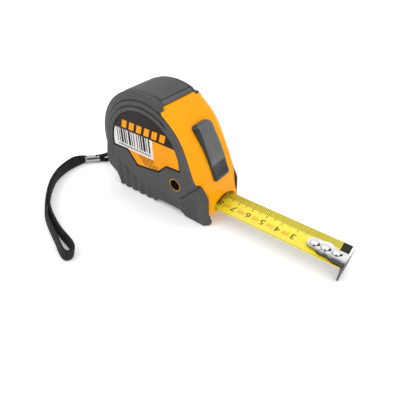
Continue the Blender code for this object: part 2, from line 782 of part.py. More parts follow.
def lock_button():
    """A thumb piece that rides on the front arc, raised at both ends."""
    steps = 14
    span = BUTTON_HIGH - BUTTON_LOW
    top = []
    for i in range(steps + 1):
        t = i / steps
        raised = 1.9 * MM * max(0.0, (t - 0.45) / 0.55) ** 2
        lip = 0.7 * MM * max(0.0, 1 - t / 0.25)
        ease = min(1.0, 4.5 * min(t + 0.08, 1 - t + 0.08))
        top.append(on_front(BUTTON_LOW + span * t, (1.4 * MM + raised + lip) * ease))
    under = [on_front(BUTTON_HIGH - span * i / steps, GAP) for i in range(steps + 1)]
    outline = top + under
    flat = BUTTON_Y - 0.8 * MM
    rows = [(-BUTTON_Y, 0.25 * MM), (-flat, 0.0), (flat, 0.0), (BUTTON_Y, 0.25 * MM)]
    rings = [[(x, y, z) for x, z in offset(outline, inset)] for y, inset in rows]
    button = loft("lock_button", rings, "black_plastic")
    outer = arc(FRONT, FRONT_R + 0.9 * MM, STEM_LOW, STEM_HIGH, 6)
    inner = arc(FRONT, FRONT_R - 2.2 * MM, STEM_HIGH, STEM_LOW, 6)
    add(button, prism("button_stem", outer + inner, -STEM_Y, STEM_Y))
    return button


def lock_arm():
    """The sprung strip behind the front wall, from the button down to the blade."""
    low, high = FRONT_R - 3.7 * MM, FRONT_R - 2.5 * MM
    outer = arc(FRONT, high, FRONT_LOW + 1, STEM_HIGH + 3, 10)
    inner = arc(FRONT, low, STEM_HIGH + 3, FRONT_LOW + 1, 10)
    toe = [mm(-2.9, 14.0), mm(-1.6, 14.0)]
    return prism("lock_arm", outer + inner + toe, -5 * MM, 5 * MM, "inner_plastic")


def brake_pad():
    outline = [mm(-3.6, 11.3), mm(-1.3, 11.3), mm(-1.1, 13.7), mm(-3.6, 13.7)]
    return prism("brake_pad", outline, -7.5 * MM, 7.5 * MM, "brake_rubber")


def lock_group():
    empty = axis_empty("lock_axis", (FRONT[0], 0.0, FRONT[1]))
    for piece in (lock_button(), lock_arm(), brake_pad()):
        hang(piece, empty)


# Wrist strap
def strap_cord():
    """The thin loop that goes round the pin and back into the ferrule."""
    reach = PIN_R + CORD_GAP + CORD_R
    turn = []
    for i in range(7):
        a = math.radians(75 - 25 * i)
        turn.append((PIN_X + reach * math.cos(a), 0.0, PIN_Z + reach * math.sin(a)))
    points = spline(CORD_ROUTE + turn + CORD_RETURN, 2.0 * MM)
    curve = bpy.data.curves.new("strap_cord", "CURVE")
    curve.dimensions = "3D"
    curve.bevel_depth = CORD_R
    curve.bevel_resolution = 2
    curve.use_fill_caps = True
    line = curve.splines.new("POLY")
    line.points.add(len(points) - 1)
    for slot, point in zip(line.points, points):
        slot.co = (*point, 1.0)
    curve.materials.append(material("strap_cloth"))
    made = bpy.data.objects.new("strap_cord", curve)
    bpy.context.scene.collection.objects.link(made)
    return made


def strap_ferrule():
    """The crimped metal tube that holds cord and webbing together."""
    along = (FERRULE_B - FERRULE_A).normalized()
    up = Vector((0, 0, 1))
    across = along.cross(up)
    steps = 18
    rings = []
    length = (FERRULE_B - FERRULE_A).length
    for t, scale in ((0.0, 0.86), (0.05, 1.0), (0.95, 1.0), (1.0, 0.86)):
        centre = FERRULE_A + along * (length * t)
        ring = []
        for i in range(steps):
            a = 2 * math.pi * i / steps
            ring.append(centre + (across * math.cos(a) + up * math.sin(a)) * FERRULE_R * scale)
        rings.append(ring)
    return loft("strap_ferrule", rings, "ferrule_metal")


def strap_webbing():
    """Flat webbing on edge: out of the ferrule, round the end and back beside itself."""
    route = [(x, y, 0.0) for x, y in WEB_OUT + WEB_BEND + WEB_BACK]
    line = spline(route, 3.4 * MM)
    total = len(line) - 1
    rings = []
    for i, p in enumerate(line):
        along = (line[min(i + 1, total)] - line[max(i - 1, 0)]).normalized()
        across = Vector((-along.y, along.x, 0.0)) * WEB_T / 2
        near_end = min(i, total - i)
        width = WEB_W * min(1.0, 0.6 + 0.2 * near_end)
        share = min(1.0, max(0.0, (LEAN_FROM - p.y) / (LEAN_FROM - LEAN_FULL)))
        low = Vector((p.x, p.y, 0.1 * MM))
        high = low + Vector((0, 0, width)) + WEB_LEAN * share
        rings.append([low - across, low + across, high + across, high - across])
    return loft("strap_webbing", rings, "strap_cloth")


def main():
    clear_scene()
    for name, side in (("left", -1), ("right", 1)):
        case_shell(f"case_shell_{name}", side)
        grip_rubber(f"grip_rubber_{name}", side)
    top_grip_pad()
    labels()
    fixed_pieces()
    reel()
    blade_group()
    lock_group()
    strap_cord()
    strap_ferrule()
    strap_webbing()


main()
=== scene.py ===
"""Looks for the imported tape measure: moulded case, rubber grip, printed blade and label,
chromed hook and woven wrist strap, each built round the CAD frame that it rides on.

Lengths are millimetres in the row frame until a mesh is made: +X the way the blade pulls
out, -Y the label side, +Z up from the surface that the tape stands on.
"""

import math

import bmesh
import bpy
import numpy as np
from mathutils import Matrix, Vector

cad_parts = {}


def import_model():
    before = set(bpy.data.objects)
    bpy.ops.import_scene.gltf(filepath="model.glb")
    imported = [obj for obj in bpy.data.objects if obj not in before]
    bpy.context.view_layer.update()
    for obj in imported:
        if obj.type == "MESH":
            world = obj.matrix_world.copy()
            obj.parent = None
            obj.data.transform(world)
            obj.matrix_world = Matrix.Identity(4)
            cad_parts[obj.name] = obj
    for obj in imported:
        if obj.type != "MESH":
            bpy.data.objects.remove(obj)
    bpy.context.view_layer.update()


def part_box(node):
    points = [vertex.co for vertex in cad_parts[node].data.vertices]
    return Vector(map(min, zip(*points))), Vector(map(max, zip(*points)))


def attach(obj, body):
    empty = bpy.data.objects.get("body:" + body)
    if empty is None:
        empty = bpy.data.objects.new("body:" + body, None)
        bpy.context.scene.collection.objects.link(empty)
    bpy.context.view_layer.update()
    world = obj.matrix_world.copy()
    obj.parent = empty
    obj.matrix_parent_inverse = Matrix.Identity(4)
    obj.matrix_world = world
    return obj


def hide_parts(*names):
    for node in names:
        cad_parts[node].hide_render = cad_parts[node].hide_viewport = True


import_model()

MM = 0.001

# Driving dimensions, the same as the CAD's
REEL = np.array((-43.35, 34.0))  # reel axis, (x, z)
FRONT = np.array((-69.26, 8.56))  # centre of the front wall's arc
FRONT_R = 73.45
GRIP_R = 39.6
SHELL_R = 37.4
LABEL_R, LABEL_SPAN = 28.5, (-3.4, 184.6)
GRIP_Y = 17.6
GAP = 0.3
SEAM = 0.15
BLADE_HALF = 9.5
BLADE_DISH = 2.2
BLADE_T = 0.22
PIN = (-80.35, 15.0)

blade_low, blade_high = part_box("blade")
BLADE_X0, BLADE_X1 = blade_low.x / MM, blade_high.x / MM
BLADE_EDGE_Z = blade_high.z / MM


# Mesh helpers
def place(name, data):
    """An object in the scene."""
    made = bpy.data.objects.new(name, data)
    bpy.context.scene.collection.objects.link(made)
    return made


def emit(name, bm, materials=()):
    """An object from a bmesh in millimetres."""
    bmesh.ops.scale(bm, vec=(MM, MM, MM), verts=bm.verts)
    mesh = bpy.data.meshes.new(name)
    bm.to_mesh(mesh)
    bm.free()
    for item in materials:
        mesh.materials.append(item)
    return place(name, mesh)


def shade(made, angle):
    made.data.shade_smooth()
    made.data.set_sharp_from_angle(angle=math.radians(angle))
    return made


def link(name, bm, materials=(), smooth=38):
    """An object from a bmesh, its faces pointing out and smooth up to an angle."""
    bmesh.ops.recalc_face_normals(bm, faces=bm.faces)
    made = emit(name, bm, materials)
    return shade(made, smooth) if smooth else made


def add_band(bm, low, high, closed=True):
    """Quads between two rows of vertices."""
    count = len(low)
    for i in range(count if closed else count - 1):
        j = (i + 1) % count
        bm.faces.new((low[i], low[j], high[j], high[i]))


def add_solid(bm, rings):
    """Skins rings of equally many points, with flat ends."""
    rows = [[bm.verts.new(p) for p in ring] for ring in rings]
    for low, high in zip(rows, rows[1:]):
        add_band(bm, low, high)
    bm.faces.new(rows[0])
    bm.faces.new(rows[-1])


def loft(name, rings, materials=(), smooth=38):
    """A solid skinned over rings."""
    bm = bmesh.new()
    add_solid(bm, rings)
    return link(name, bm, materials, smooth)


def flat(outline, y):
    """An outline of (x, z) points stood at y."""
    return [(x, y, z) for x, z in outline]


def prism(name, outline, y0, y1, materials=(), smooth=38):
    return loft(name, [flat(outline, y) for y in (y0, y1)], materials, smooth)


def box(name, low, high):
    outline = [(low[0], low[2]), (high[0], low[2]), (high[0], high[2]), (low[0], high[2])]
    return prism(name, outline, low[1], high[1], smooth=0)


def circle(steps):
    """Unit vectors evenly round a circle."""
    turns = [2 * math.pi * i / steps for i in range(steps)]
    return [(math.cos(a), math.sin(a)) for a in turns]


def rod(name, centre, radius, y0, y1, steps=32):
    """A round bar along Y."""
    bm = bmesh.new()
    rows = []
    for c, s in circle(steps):
        x, z = centre[0] + radius * c, centre[1] + radius * s
        rows.append([bm.verts.new((x, y, z)) for y in (y0, y1)])
    for i in range(steps):
        add_band(bm, rows[i], rows[(i + 1) % steps], False)
    for end in zip(*rows):
        bm.faces.new(end)
    return link(name, bm)


def apply_modifiers(made):
    """Bakes an object's modifiers into its mesh."""
    bpy.context.view_layer.update()
    evaluated = made.evaluated_get(bpy.context.evaluated_depsgraph_get())
    mesh = bpy.data.meshes.new_from_object(evaluated)
    made.modifiers.clear()
    old = made.data
    made.data = mesh
    bpy.data.meshes.remove(old)
    return made


def combine(target, operands):
    """Runs (operation, operand) Booleans in order and removes the operands."""
    for operation, operand in operands:
        step = target.modifiers.new(operand.name, "BOOLEAN")
        step.operation = operation
        step.solver = "EXACT"
        step.object = operand
        step.material_mode = "TRANSFER" if operand.data.materials else "INDEX"
    apply_modifiers(target)
    for _, operand in operands:
        bpy.data.objects.remove(operand)


def round_edges(made, width, segments, angle):
    """Rounds an object's sharp edges."""
    bevel = made.modifiers.new("rounding", "BEVEL")
    bevel.width = width * MM
    bevel.segments = segments
    bevel.limit_method = "ANGLE"
    bevel.angle_limit = math.radians(angle)
    return apply_modifiers(made)


def finish(made, body, slot, *nodes):
    """Puts a piece on its body and hides the nodes it stands for. Its slot, the finish's name, is not used.
    """
    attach(made, body)
    if nodes:
        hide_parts(*nodes)
    return made


# Plane curves
SPLINE_STEPS = 12


def arc(centre, radius, low, high, steps):
    """Points of a circle in the XZ plane, from one angle to another in degrees."""
    a = np.radians(np.linspace(low, high, steps + 1))
    return np.stack([centre[0] + radius * np.cos(a), centre[1] + radius * np.sin(a)], 1)


def about_reel(x, z):
    """Distances from the reel's axis, and angles round it in degrees."""
    dx, dz = x - REEL[0], z - REEL[1]
    return np.hypot(dx, dz), np.degrees(np.arctan2(dz, dx)) % 360


def unit(rows):
    """Rows scaled to unit length."""
    return rows / np.linalg.norm(rows, axis=1)[:, None]


def distances(points):
    """How far along a polyline each of its points is."""
    steps = np.linalg.norm(np.diff(points, axis=0), axis=1)
    return np.concatenate([[0], np.cumsum(steps)])


def offset(outline, distance):
    """A counter-clockwise outline moved inwards by distance."""
    p = np.asarray(outline, float)
    a = unit(p - np.roll(p, 1, 0))
    b = unit(np.roll(p, -1, 0) - p)
    na = np.stack([-a[:, 1], a[:, 0]], 1)
    nb = np.stack([-b[:, 1], b[:, 0]], 1)
    share = distance / np.maximum(1.0 + (na * nb).sum(1), 0.5)
    return p + (na + nb) * share[:, None]


def along(points, steps):
    """A polyline read at even steps, both ends kept."""
    p = np.asarray(points, float)
    walked = distances(p)
    at = np.linspace(0, walked[-1], steps + 1)
    return np.stack([np.interp(at, walked, p[:, i]) for i in range(p.shape[1])], 1)


def spline(points):
    """A smooth curve through points, SPLINE_STEPS to each stretch."""
    p = np.asarray(points, float)
    p = np.concatenate([p[:1], p, p[-1:]])
    out = []
    for i in range(1, len(p) - 2):
        for t in np.arange(SPLINE_STEPS) / SPLINE_STEPS:
            a = 2 * p[i] + (p[i + 1] - p[i - 1]) * t
            b = (2 * p[i - 1] - 5 * p[i] + 4 * p[i + 1] - p[i + 2]) * t * t
            c = (3 * p[i] - p[i - 1] - 3 * p[i + 1] + p[i + 2]) * t ** 3
            out.append((a + b + c) / 2)
    out.append(p[-1])
    return np.array(out)


def ramp(value, low, high):
    """0 below low, 1 above high, smooth between."""
    t = np.clip((value - low) / (high - low), 0, 1)
    return t * t * (3 - 2 * t)


# Materials
RAMP_STOPS = (0.3, 0.7)
PATCH_SCALE, SMEAR_SCALE = 45, 160
PAPER_GRAIN = (300, 0.02, 0.00002)
PLATE_EDGE_SHADE = (-6.5 * MM, -2.0 * MM)  # y over which the painted shade on the hook plate's near edge fades out
LEG_SHADE_BELOW = (8.4 * MM, 6.0 * MM)  # z over which painted shade darkens the hook's leg downwards


def new_material(name):
    """A material, its node tree and its shader."""
    made = bpy.data.materials.new(name)
    made.use_nodes = True
    return made, made.node_tree, made.node_tree.nodes["Principled BSDF"]


def feed(tree, made, inputs):
    """Sets a node's inputs, to plain values or by links from sockets."""
    for key, value in inputs.items():
        if isinstance(value, bpy.types.NodeSocket):
            tree.links.new(value, made.inputs[key])
        else:
            made.inputs[key].default_value = value
    return made


def node(tree, kind, inputs, **settings):
    made = tree.nodes.new("ShaderNode" + kind)
    for key, value in settings.items():
        setattr(made, key, value)
    return feed(tree, made, inputs)


def math_node(tree, operation, *inputs):
    """A Math node fed by sockets or plain numbers; returns its output."""
    return node(tree, "Math", dict(enumerate(inputs)), operation=operation).outputs[0]


def spread(tree, value, span):
    """A value from 0 to 1 laid over a span."""
    scaled = math_node(tree, "MULTIPLY", value, span[1] - span[0])
    return math_node(tree, "ADD", scaled, span[0])


def map_range(tree, value, source, target=(0.0, 1.0), kind="LINEAR"):
    inputs = {"Value": value, "From Min": source[0], "From Max": source[1]}
    inputs.update({"To Min": target[0], "To Max": target[1]})
    return node(tree, "MapRange", inputs, interpolation_type=kind).outputs[0]


def coordinates(tree, kind="Object"):
    return node(tree, "TexCoord", {}).outputs[kind]


def object_noise(tree, scale, detail=3.0, rough=0.5, vector=None):
    """Noise laid out in the object's own metres, or on another vector."""
    vector = vector or coordinates(tree)
    inputs = {"Vector": vector, "Scale": scale, "Detail": detail, "Roughness": rough}
    return node(tree, "TexNoise", inputs).outputs["Fac"]


def blend_colours(tree, factor, low, high):
    """Mixes two colours by a factor through a ramp."""
    made = node(tree, "ValToRGB", {"Fac": factor})
    for stop, position, colour in zip(made.color_ramp.elements, RAMP_STOPS, (low, high)):
        stop.color = (*colour, 1)
        stop.position = position
    return made.outputs["Color"]


def bump(tree, height, strength, distance):
    inputs = {"Height": height, "Strength": strength, "Distance": distance}
    return node(tree, "Bump", inputs).outputs["Normal"]


def surface(name, low, high, rough, grain, coat=0.0, specular=0.5):
    """A moulded or painted surface: two near colours in cloudy patches, roughness that
    varies between rough's two values, and a grain of (scale, strength, depth)."""
    made, tree, shader = new_material(name)
    patches = object_noise(tree, PATCH_SCALE, 4.0)
    fine = object_noise(tree, grain[0], 2.0, 0.6)
    feed(tree, shader, {
        "Specular IOR Level": specular,
        "Coat Weight": coat,
        "Coat Roughness": 0.08,
        "Base Color": blend_colours(tree, patches, low, high),
        "Roughness": spread(tree, object_noise(tree, SMEAR_SCALE), rough),
        "Normal": bump(tree, fine, grain[1], grain[2]),
    })
    return made


def brushed(name, colour, rough, stretch):
    """Bare metal with fine scratches, closer together across than along."""
    made, tree, shader = new_material(name)
    mapping = node(tree, "Mapping", {"Vector": coordinates(tree), "Scale": stretch})
    scratches = object_noise(tree, 1.0, vector=mapping.outputs["Vector"])
    feed(tree, shader, {
        "Metallic": 1.0,
        "Base Color": (*colour, 1),
        "Roughness": spread(tree, scratches, rough),
        "Normal": bump(tree, scratches, 0.12, 0.00004),
    })
    return made


def polished(name, dark, light, rough, scale):
    """Bright plating whose base colour carries painted reflections in dark and light patches, and painted
    shade near its edge and downwards.
    """
    made, tree, shader = new_material(name)
    split = node(tree, "SeparateXYZ", {0: coordinates(tree)})
    # Painted shade down the leg and along the near edge, and painted reflections in noise patches, all in
    # the base colour
    lower = map_range(tree, split.outputs[2], LEG_SHADE_BELOW, (0.0, -0.4))
    edge_shade_fade = map_range(tree, split.outputs[1], PLATE_EDGE_SHADE)
    cloudy = math_node(tree, "MULTIPLY", object_noise(tree, scale, 2.0, 0.4), 0.4)
    share = math_node(tree, "ADD", cloudy, math_node(tree, "MULTIPLY", edge_shade_fade, 0.52))
    painted_reflection = math_node(tree, "ADD", share, lower)
    feed(tree, shader, {
        "Metallic": 1.0,
        "Specular Tint": (0.3, 0.3, 0.31, 1.0),
        "Base Color": blend_colours(tree, painted_reflection, dark, light),
        "Roughness": spread(tree, object_noise(tree, 900), rough),
        "Normal": bump(tree, object_noise(tree, 2600, 2.0), 0.08, 0.00003),
    })
    return made


def ink(name, colour, rough=0.4):
    """A printed colour, slightly uneven."""
    dark = tuple(c * 0.86 for c in colour)
    return surface(name, dark, colour, (rough, rough + 0.12), (900, 0.05, 0.00002), specular=0.15)


def weave(name, dark, light, along_scale, across_scale):
    """Over-and-under threads laid out on the piece's UV map."""
    made, tree, shader = new_material(name)
    split = node(tree, "SeparateXYZ", {0: node(tree, "UVMap", {}, uv_map="weave").outputs["UV"]})
    u = math_node(tree, "MULTIPLY", split.outputs[0], along_scale)
    v = math_node(tree, "MULTIPLY", split.outputs[1], across_scale)
    threads = []
    for slant in ("ADD", "SUBTRACT"):
        wave = math_node(tree, "SINE", math_node(tree, slant, u, v))
        threads.append(math_node(tree, "ABSOLUTE", wave))
    height = math_node(tree, "MULTIPLY", *threads)
    fuzz = math_node(tree, "MULTIPLY", object_noise(tree, 2200, 2.0), 0.5)
    mixed = math_node(tree, "ADD", height, fuzz)
    feed(tree, shader, {
        "Sheen Weight": 0.04,
        "Sheen Roughness": 0.4,
        "Specular IOR Level": 0.12,
        "Base Color": blend_colours(tree, mixed, dark, light),
        "Roughness": spread(tree, height, (0.85, 0.65)),
        "Normal": bump(tree, mixed, 0.9, 0.00022),
    })
    return made


ORANGE = surface(
    "orange_abs", (0.95, 0.37, 0.001), (0.97, 0.39, 0.002), (0.22, 0.32), (700, 0.05, 0.00003),
    specular=0.14,
)
RUBBER = surface(
    "grip_rubber", (0.046, 0.046, 0.047), (0.058, 0.058, 0.059), (0.5, 0.66), (2600, 0.35, 0.00009),
)
# Glossier rubber for the rims and the pad's lip; its lighter colour is a painted highlight
GLOSS_AND_HIGHLIGHT_RUBBER = surface(
    "lip_rubber", (0.06, 0.062, 0.07), (0.08, 0.082, 0.09), (0.22, 0.32), (900, 0.06, 0.00003),
)
# Painted shade for the grip's grooves: near-black rubber laid in them
GROOVE_SHADE_RUBBER = surface(
    "groove_rubber", (0.008, 0.008, 0.009), (0.014, 0.014, 0.015), (0.5, 0.66), (2600, 0.2, 0.00006),
)
BLACK = surface(
    "button_plastic", (0.085, 0.088, 0.09), (0.11, 0.114, 0.116), (0.24, 0.36), (1800, 0.2, 0.00005),
)
# Painted shade for the button's side walls and low end: near-black plastic
BUTTON_SHADE = surface(
    "button_wall", (0.012, 0.012, 0.013), (0.02, 0.02, 0.022), (0.25, 0.4), (1800, 0.2, 0.00005),
)
# Dark plastic of the covered pieces, also laid as painted shade on the screw recesses' walls
INNER_AND_RECESS_SHADE = surface(
    "inner_plastic", (0.012, 0.012, 0.013), (0.022, 0.022, 0.024), (0.5, 0.65), (1200, 0.2, 0.00005),
)
YELLOW = surface(
    "blade_enamel", (0.86, 0.70, 0.02), (0.93, 0.78, 0.03), (0.26, 0.38), (1400, 0.08, 0.00002),
    coat=0.3,
)
BLADE_BACK = surface(
    "blade_back", (0.3, 0.27, 0.14), (0.36, 0.32, 0.17), (0.3, 0.42), (1400, 0.08, 0.00002),
)
TICK = ink("scale_black", (0.03, 0.028, 0.012))
OLIVE = ink("edge_line", (0.33, 0.29, 0.02))
RED = ink("scale_red", (0.62, 0.16, 0.03))
LABEL_ORANGE = ink("label_orange", (1.0, 0.37, 0.001))
LABEL_DARK = ink("label_dark", (0.018, 0.009, 0.007), 0.3)
LABEL_WHITE = ink("label_white", (0.86, 0.85, 0.83))
LABEL_RED = ink("label_red", (0.22, 0.04, 0.006))
# A painted shadow round the label's recess
LABEL_EDGE_SHADOW = ink("label_edge", (0.01, 0.008, 0.007), 0.35)
# The hook's plating: painted reflections and painted shade in its base colour
CHROME = polished("hook_chrome", (0.1, 0.1, 0.11), (0.86, 0.86, 0.88), (0.06, 0.16), 420)
RIVET = brushed("rivet_chrome", (0.8, 0.8, 0.82), (0.05, 0.12), (260, 260, 260))
STEEL = brushed("spring_steel", (0.42, 0.43, 0.45), (0.22, 0.4), (300, 2600, 300))
SCREW = brushed("screw_black", (0.055, 0.055, 0.06), (0.3, 0.45), (900, 900, 900))
FERRULE = brushed("ferrule_metal", (0.42, 0.42, 0.43), (0.12, 0.26), (300, 300, 300))
STRAP = weave("strap_webbing", (0.003, 0.003, 0.004), (0.03, 0.03, 0.032), 2.6, 5.2)
CORD = weave("strap_cord", (0.003, 0.003, 0.004), (0.024, 0.024, 0.026), 1.6, 9.0)


# Camera, floor and lights
CAMERA_SIDE = (0.493, -0.655, 0.573)
CAMERA_AT = (0.11545, -0.1566, 0.1645)
CAMERA_TURN = (37.01, 34.96, -0.23)  # azimuth, elevation and roll in degrees
LENS, SHIFT = 35.92, (-0.0376, -0.066)
FLOOR_GLOW = 0.2


def camera():
    """A camera at the photograph's angle."""
    data = bpy.data.cameras.new("camera")
    data.sensor_width = 36.0
    data.lens = LENS
    data.shift_x, data.shift_y = SHIFT
    data.clip_start, data.clip_end = 0.01, 5.0
    azimuth, elevation, roll = (math.radians(d) for d in CAMERA_TURN)
    level = math.cos(elevation)
    back = Vector((math.sin(azimuth) * level, -math.cos(azimuth) * level, math.sin(elevation)))
    right = Vector((math.cos(azimuth), math.sin(azimuth), 0.0))
    up = back.cross(right)
    turned_right = right * math.cos(roll) + up * math.sin(roll)
    turned_up = up * math.cos(roll) - right * math.sin(roll)
    made = place("camera", data)
    made.matrix_world = Matrix((turned_right, turned_up, back)).transposed().to_4x4()
    made.location = CAMERA_AT
    bpy.context.scene.camera = made


def floor():
    """A wide pale light table, which glows a little through its sheet."""
    bm = bmesh.new()
    bmesh.ops.create_grid(bm, x_segments=2, y_segments=2, size=4000.0)
    paper = surface("paper_floor", (0.97, 0.97, 0.97), (0.985, 0.985, 0.985), (0.7, 0.8), PAPER_GRAIN)
    glow = {"Emission Color": (1.0, 1.0, 1.0, 1.0), "Emission Strength": FLOOR_GLOW}
    feed(paper.node_tree, paper.node_tree.nodes["Principled BSDF"], glow)
    made = link("floor", bm, [paper], 0)
    made.location.z = -0.00005


def area_light(name, at, target, size, power):
    data = bpy.data.lights.new(name, "AREA")
    data.shape = "RECTANGLE"
    data.size, data.size_y = size
    data.energy = power
    made = place(name, data)
    made.location = at
    made.rotation_euler = (Vector(target) - Vector(at)).to_track_quat("-Z", "Y").to_euler()


def world():
    """A white tent, a little brighter overhead, with a dark opening where the camera looks in."""
    made = bpy.data.worlds.new("studio")
    bpy.context.scene.world = made
    made.use_nodes = True
    tree = made.node_tree
    view = coordinates(tree, "Generated")
    split = node(tree, "SeparateXYZ", {0: view})
    tent = map_range(tree, split.outputs[2], (0.0, 0.8), (0.86, 1.06))
    towards = node(tree, "VectorMath", {0: view, 1: CAMERA_SIDE}, operation="DOT_PRODUCT")
    opening = map_range(tree, towards.outputs["Value"], (0.82, 0.95), (1.0, 0.06), "SMOOTHSTEP")
    strength = math_node(tree, "MULTIPLY", tent, opening)
    feed(tree, tree.nodes["Background"], {"Color": (1.0, 1.0, 1.0, 1.0), "Strength": strength})


def studio():
    bpy.context.scene.view_settings.view_transform = "Standard"
    camera()
    floor()
    world()
    area_light("key", (-0.25, -0.45, 0.65), (-0.03, 0, 0.03), (0.5, 0.5), 0.9)
    area_light("fill", (0.6, -0.25, 0.45), (0, 0, 0.03), (0.5, 0.6), 0.9)
    area_light("top", (0.05, 0.25, 0.75), (-0.02, 0, 0.03), (0.7, 0.4), 0.8)


# Wrist strap: the same routes as the CAD's, in millimetres
CORD_ROUTE = [
    (-107.2, -8.8, 4.1), (-104.6, -5.8, 4.2), (-101.2, -3.4, 5.6), (-97.0, -1.6, 8.0),
    (-92.0, -0.5, 11.5), (-87.0, 0.0, 15.1), (-83.2, 0.0, 17.0),
]
CORD_RETURN = [
    (-83.2, 0.0, 13.0), (-87.0, 0.0, 10.4), (-92.0, -0.6, 6.8), (-97.0, -2.2, 3.5),
    (-101.0, -4.4, 1.8), (-104.3, -6.6, 1.4), (-106.9, -9.2, 1.5),
]
WEB_OUT = [
    (-112.2, -13.2), (-113.86, -14.78), (-115.3, -18.0), (-115.9, -21.5), (-116.0, -25.5),
    (-115.8, -30.0), (-114.7, -36.0), (-112.0, -43.0), (-106.8, -50.2), (-99.3, -57.8),
    (-90.6, -64.9), (-82.0, -70.2), (-73.0, -74.0), (-64.5, -77.2), (-56.0, -80.3),
    (-49.5, -82.9), (-45.3, -84.2),
]
WEB_BEND = [(-42.2, -84.4), (-40.6, -82.9), (-41.0, -80.6), (-43.8, -78.6)]
WEB_BACK = [
    (-50.0, -76.9), (-57.5, -75.5), (-65.5, -73.4), (-73.5, -70.4), (-81.5, -66.5),
    (-89.0, -61.6), (-97.0, -55.3), (-103.0, -49.4), (-107.3, -44.1), (-110.6, -37.8),
    (-112.6, -31.2), (-113.3, -25.2), (-113.2, -19.6), (-112.68, -15.86), (-111.2, -14.2),
]
# The far end of the loop leans over, its top edge further out than its bottom one
WEB_LEAN = np.array((1.8, 1.2, 0.0))
LEAN_FROM, LEAN_FULL = -20.0, -45.0
CORD_R, CORD_PITCH, CORD_PINCH, CORD_STEPS = 1.3, 3.6, 0.8, 220
PIN_R = 1.2
WEB_T, WEB_W, WEB_Z, WEB_SPACING, WEB_RIBS, WEB_STEPS = 1.6, 8.0, 0.1, 1.6, 8, 190
FERRULE_A, FERRULE_B = Vector((-105.4, -6.7, 2.7)), Vector((-112.8, -14.8, 2.7))
FERRULE_R = 2.6


def frames(line):
    """Each point's direction along a line, with a sideways and an upward unit vector."""
    ahead = unit(np.gradient(line, axis=0))
    side = np.cross(ahead, (0, 0, 1.0))
    level = np.linalg.norm(side, axis=1)[:, None]
    side = np.where(level > 0.2, side / np.maximum(level, 1e-6), (0, -1.0, 0))
    return side, unit(np.cross(side, ahead))


def skin(name, rings, look):
    """A closed tube over rings, with a UV map called weave in millimetres."""
    rings = np.asarray(rings, float)
    bm = bmesh.new()
    rows = [[bm.verts.new(p) for p in ring] for ring in rings]
    layer = bm.loops.layers.uv.new("weave")
    count = len(rings[0])
    middle = rings[len(rings) // 2]
    walked, about = distances(rings.mean(1)), distances(np.concatenate([middle, middle[:1]]))
    for r in range(len(rows) - 1):
        for i in range(count):
            j = (i + 1) % count
            face = bm.faces.new((rows[r][i], rows[r][j], rows[r + 1][j], rows[r + 1][i]))
            for loop, (a, b) in zip(face.loops, ((r, i), (r, i + 1), (r + 1, i + 1), (r + 1, i))):
                loop[layer].uv = (walked[a], about[b])
    bm.faces.new(rows[0])
    bm.faces.new(rows[-1])
    return link(name, bm, [look], 50)


def cord_loop():
    """A thin cord of twisted strands, out of the ferrule, round the pin and back."""
    turn = [(x, 0.0, z) for x, z in arc(PIN, PIN_R + CORD_R, 75, -75, 6)]
    line = along(spline(CORD_ROUTE + turn + CORD_RETURN), CORD_STEPS)
    outside = 1 - ramp(line[:, 0], -85.5, -83.0)
    upper = np.where(np.arange(len(line)) < len(line) / 2, 1.0, -1.0)
    line[:, 2] -= CORD_PINCH * upper * outside * ramp(line[:, 0], -101.0, -95.0)
    line[:, 2] = np.maximum(line[:, 2], 1.2 * CORD_R + 0.1)
    length = distances(line)[-1]
    side, rise = frames(line)
    rings = []
    for i, p in enumerate(line):
        twist = 2 * math.pi * length * i / CORD_STEPS / CORD_PITCH
        ring = []
        for a in np.linspace(0, 2 * math.pi, 20, endpoint=False):
            radius = CORD_R * (0.93 + 0.07 * abs(math.cos(1.5 * (a - twist)))) * (1 + 0.2 * outside[i])
            ring.append(p + side[i] * math.cos(a) * radius + rise[i] * math.sin(a) * radius)
        rings.append(ring)
    made = skin("strap_cord_loop", rings, CORD)
    finish(made, "case", "strap_cloth", "strap_cord")
    return made, [tuple(p * MM) for p in line], float(length) * MM


def webbing_section(width):
    """Half the outline of webbing that stands on edge: a ribbed face and round selvedges."""
    points = []
    for t in np.linspace(0, 1, WEB_RIBS * 4 + 1):
        swell = 0.5 * WEB_T * (0.86 + 0.1 * abs(math.sin(math.pi * WEB_RIBS * t)))
        points.append((swell * min(1.0, 9.0 * min(t, 1 - t)) ** 0.5, width * t))
    return points


def wrist_webbing():
    """Flat woven ribbon on edge: out of the ferrule, round its end and back beside itself."""
    line = along(spline([(x, y, 0.0) for x, y in WEB_OUT + WEB_BEND + WEB_BACK]), WEB_STEPS)
    side, _ = frames(line)
    index = np.arange(WEB_STEPS + 1)
    from_end = distances(line)[-1] / WEB_STEPS * np.minimum(index, WEB_STEPS - index)
    # The strands are pressed together over their middle
    half = WEB_STEPS // 2
    others = [line[half:] if i < half else line[:half] for i in range(len(line))]
    spacing = np.array([np.linalg.norm(other - p, axis=1).min() for other, p in zip(others, line)])
    pressed = np.clip((spacing - WEB_SPACING) / 2, 0, 1.0)
    pressed *= ramp(from_end, 3.0, 12.0) * (1 - ramp(from_end, 58.0, 84.0))
    line -= side * pressed[:, None]
    length = distances(line)[-1]
    rings, centres = [], []
    for i, p in enumerate(line):
        near_end = min(i, WEB_STEPS - i) * length / WEB_STEPS
        width = WEB_W * (0.6 + 0.4 * float(ramp(near_end, -2.0, 13.0)))
        section = webbing_section(width)
        share = min(1.0, max(0.0, (LEAN_FROM - p[1]) / (LEAN_FROM - LEAN_FULL)))
        base = p + np.array((0, 0, WEB_Z + (WEB_W - width) * 0.12))
        rise = np.array((0, 0, 1.0)) + WEB_LEAN * share / WEB_W
        ring = [base + side[i] * s + rise * z for s, z in section]
        rings.append(ring + [base - side[i] * s + rise * z for s, z in section[-2:0:-1]])
        centres.append(base + rise * width / 2)
    made = skin("wrist_webbing", rings, STRAP)
    finish(made, "case", "strap_cloth", "strap_webbing")
    return made, [tuple(p * MM) for p in centres], float(length) * MM


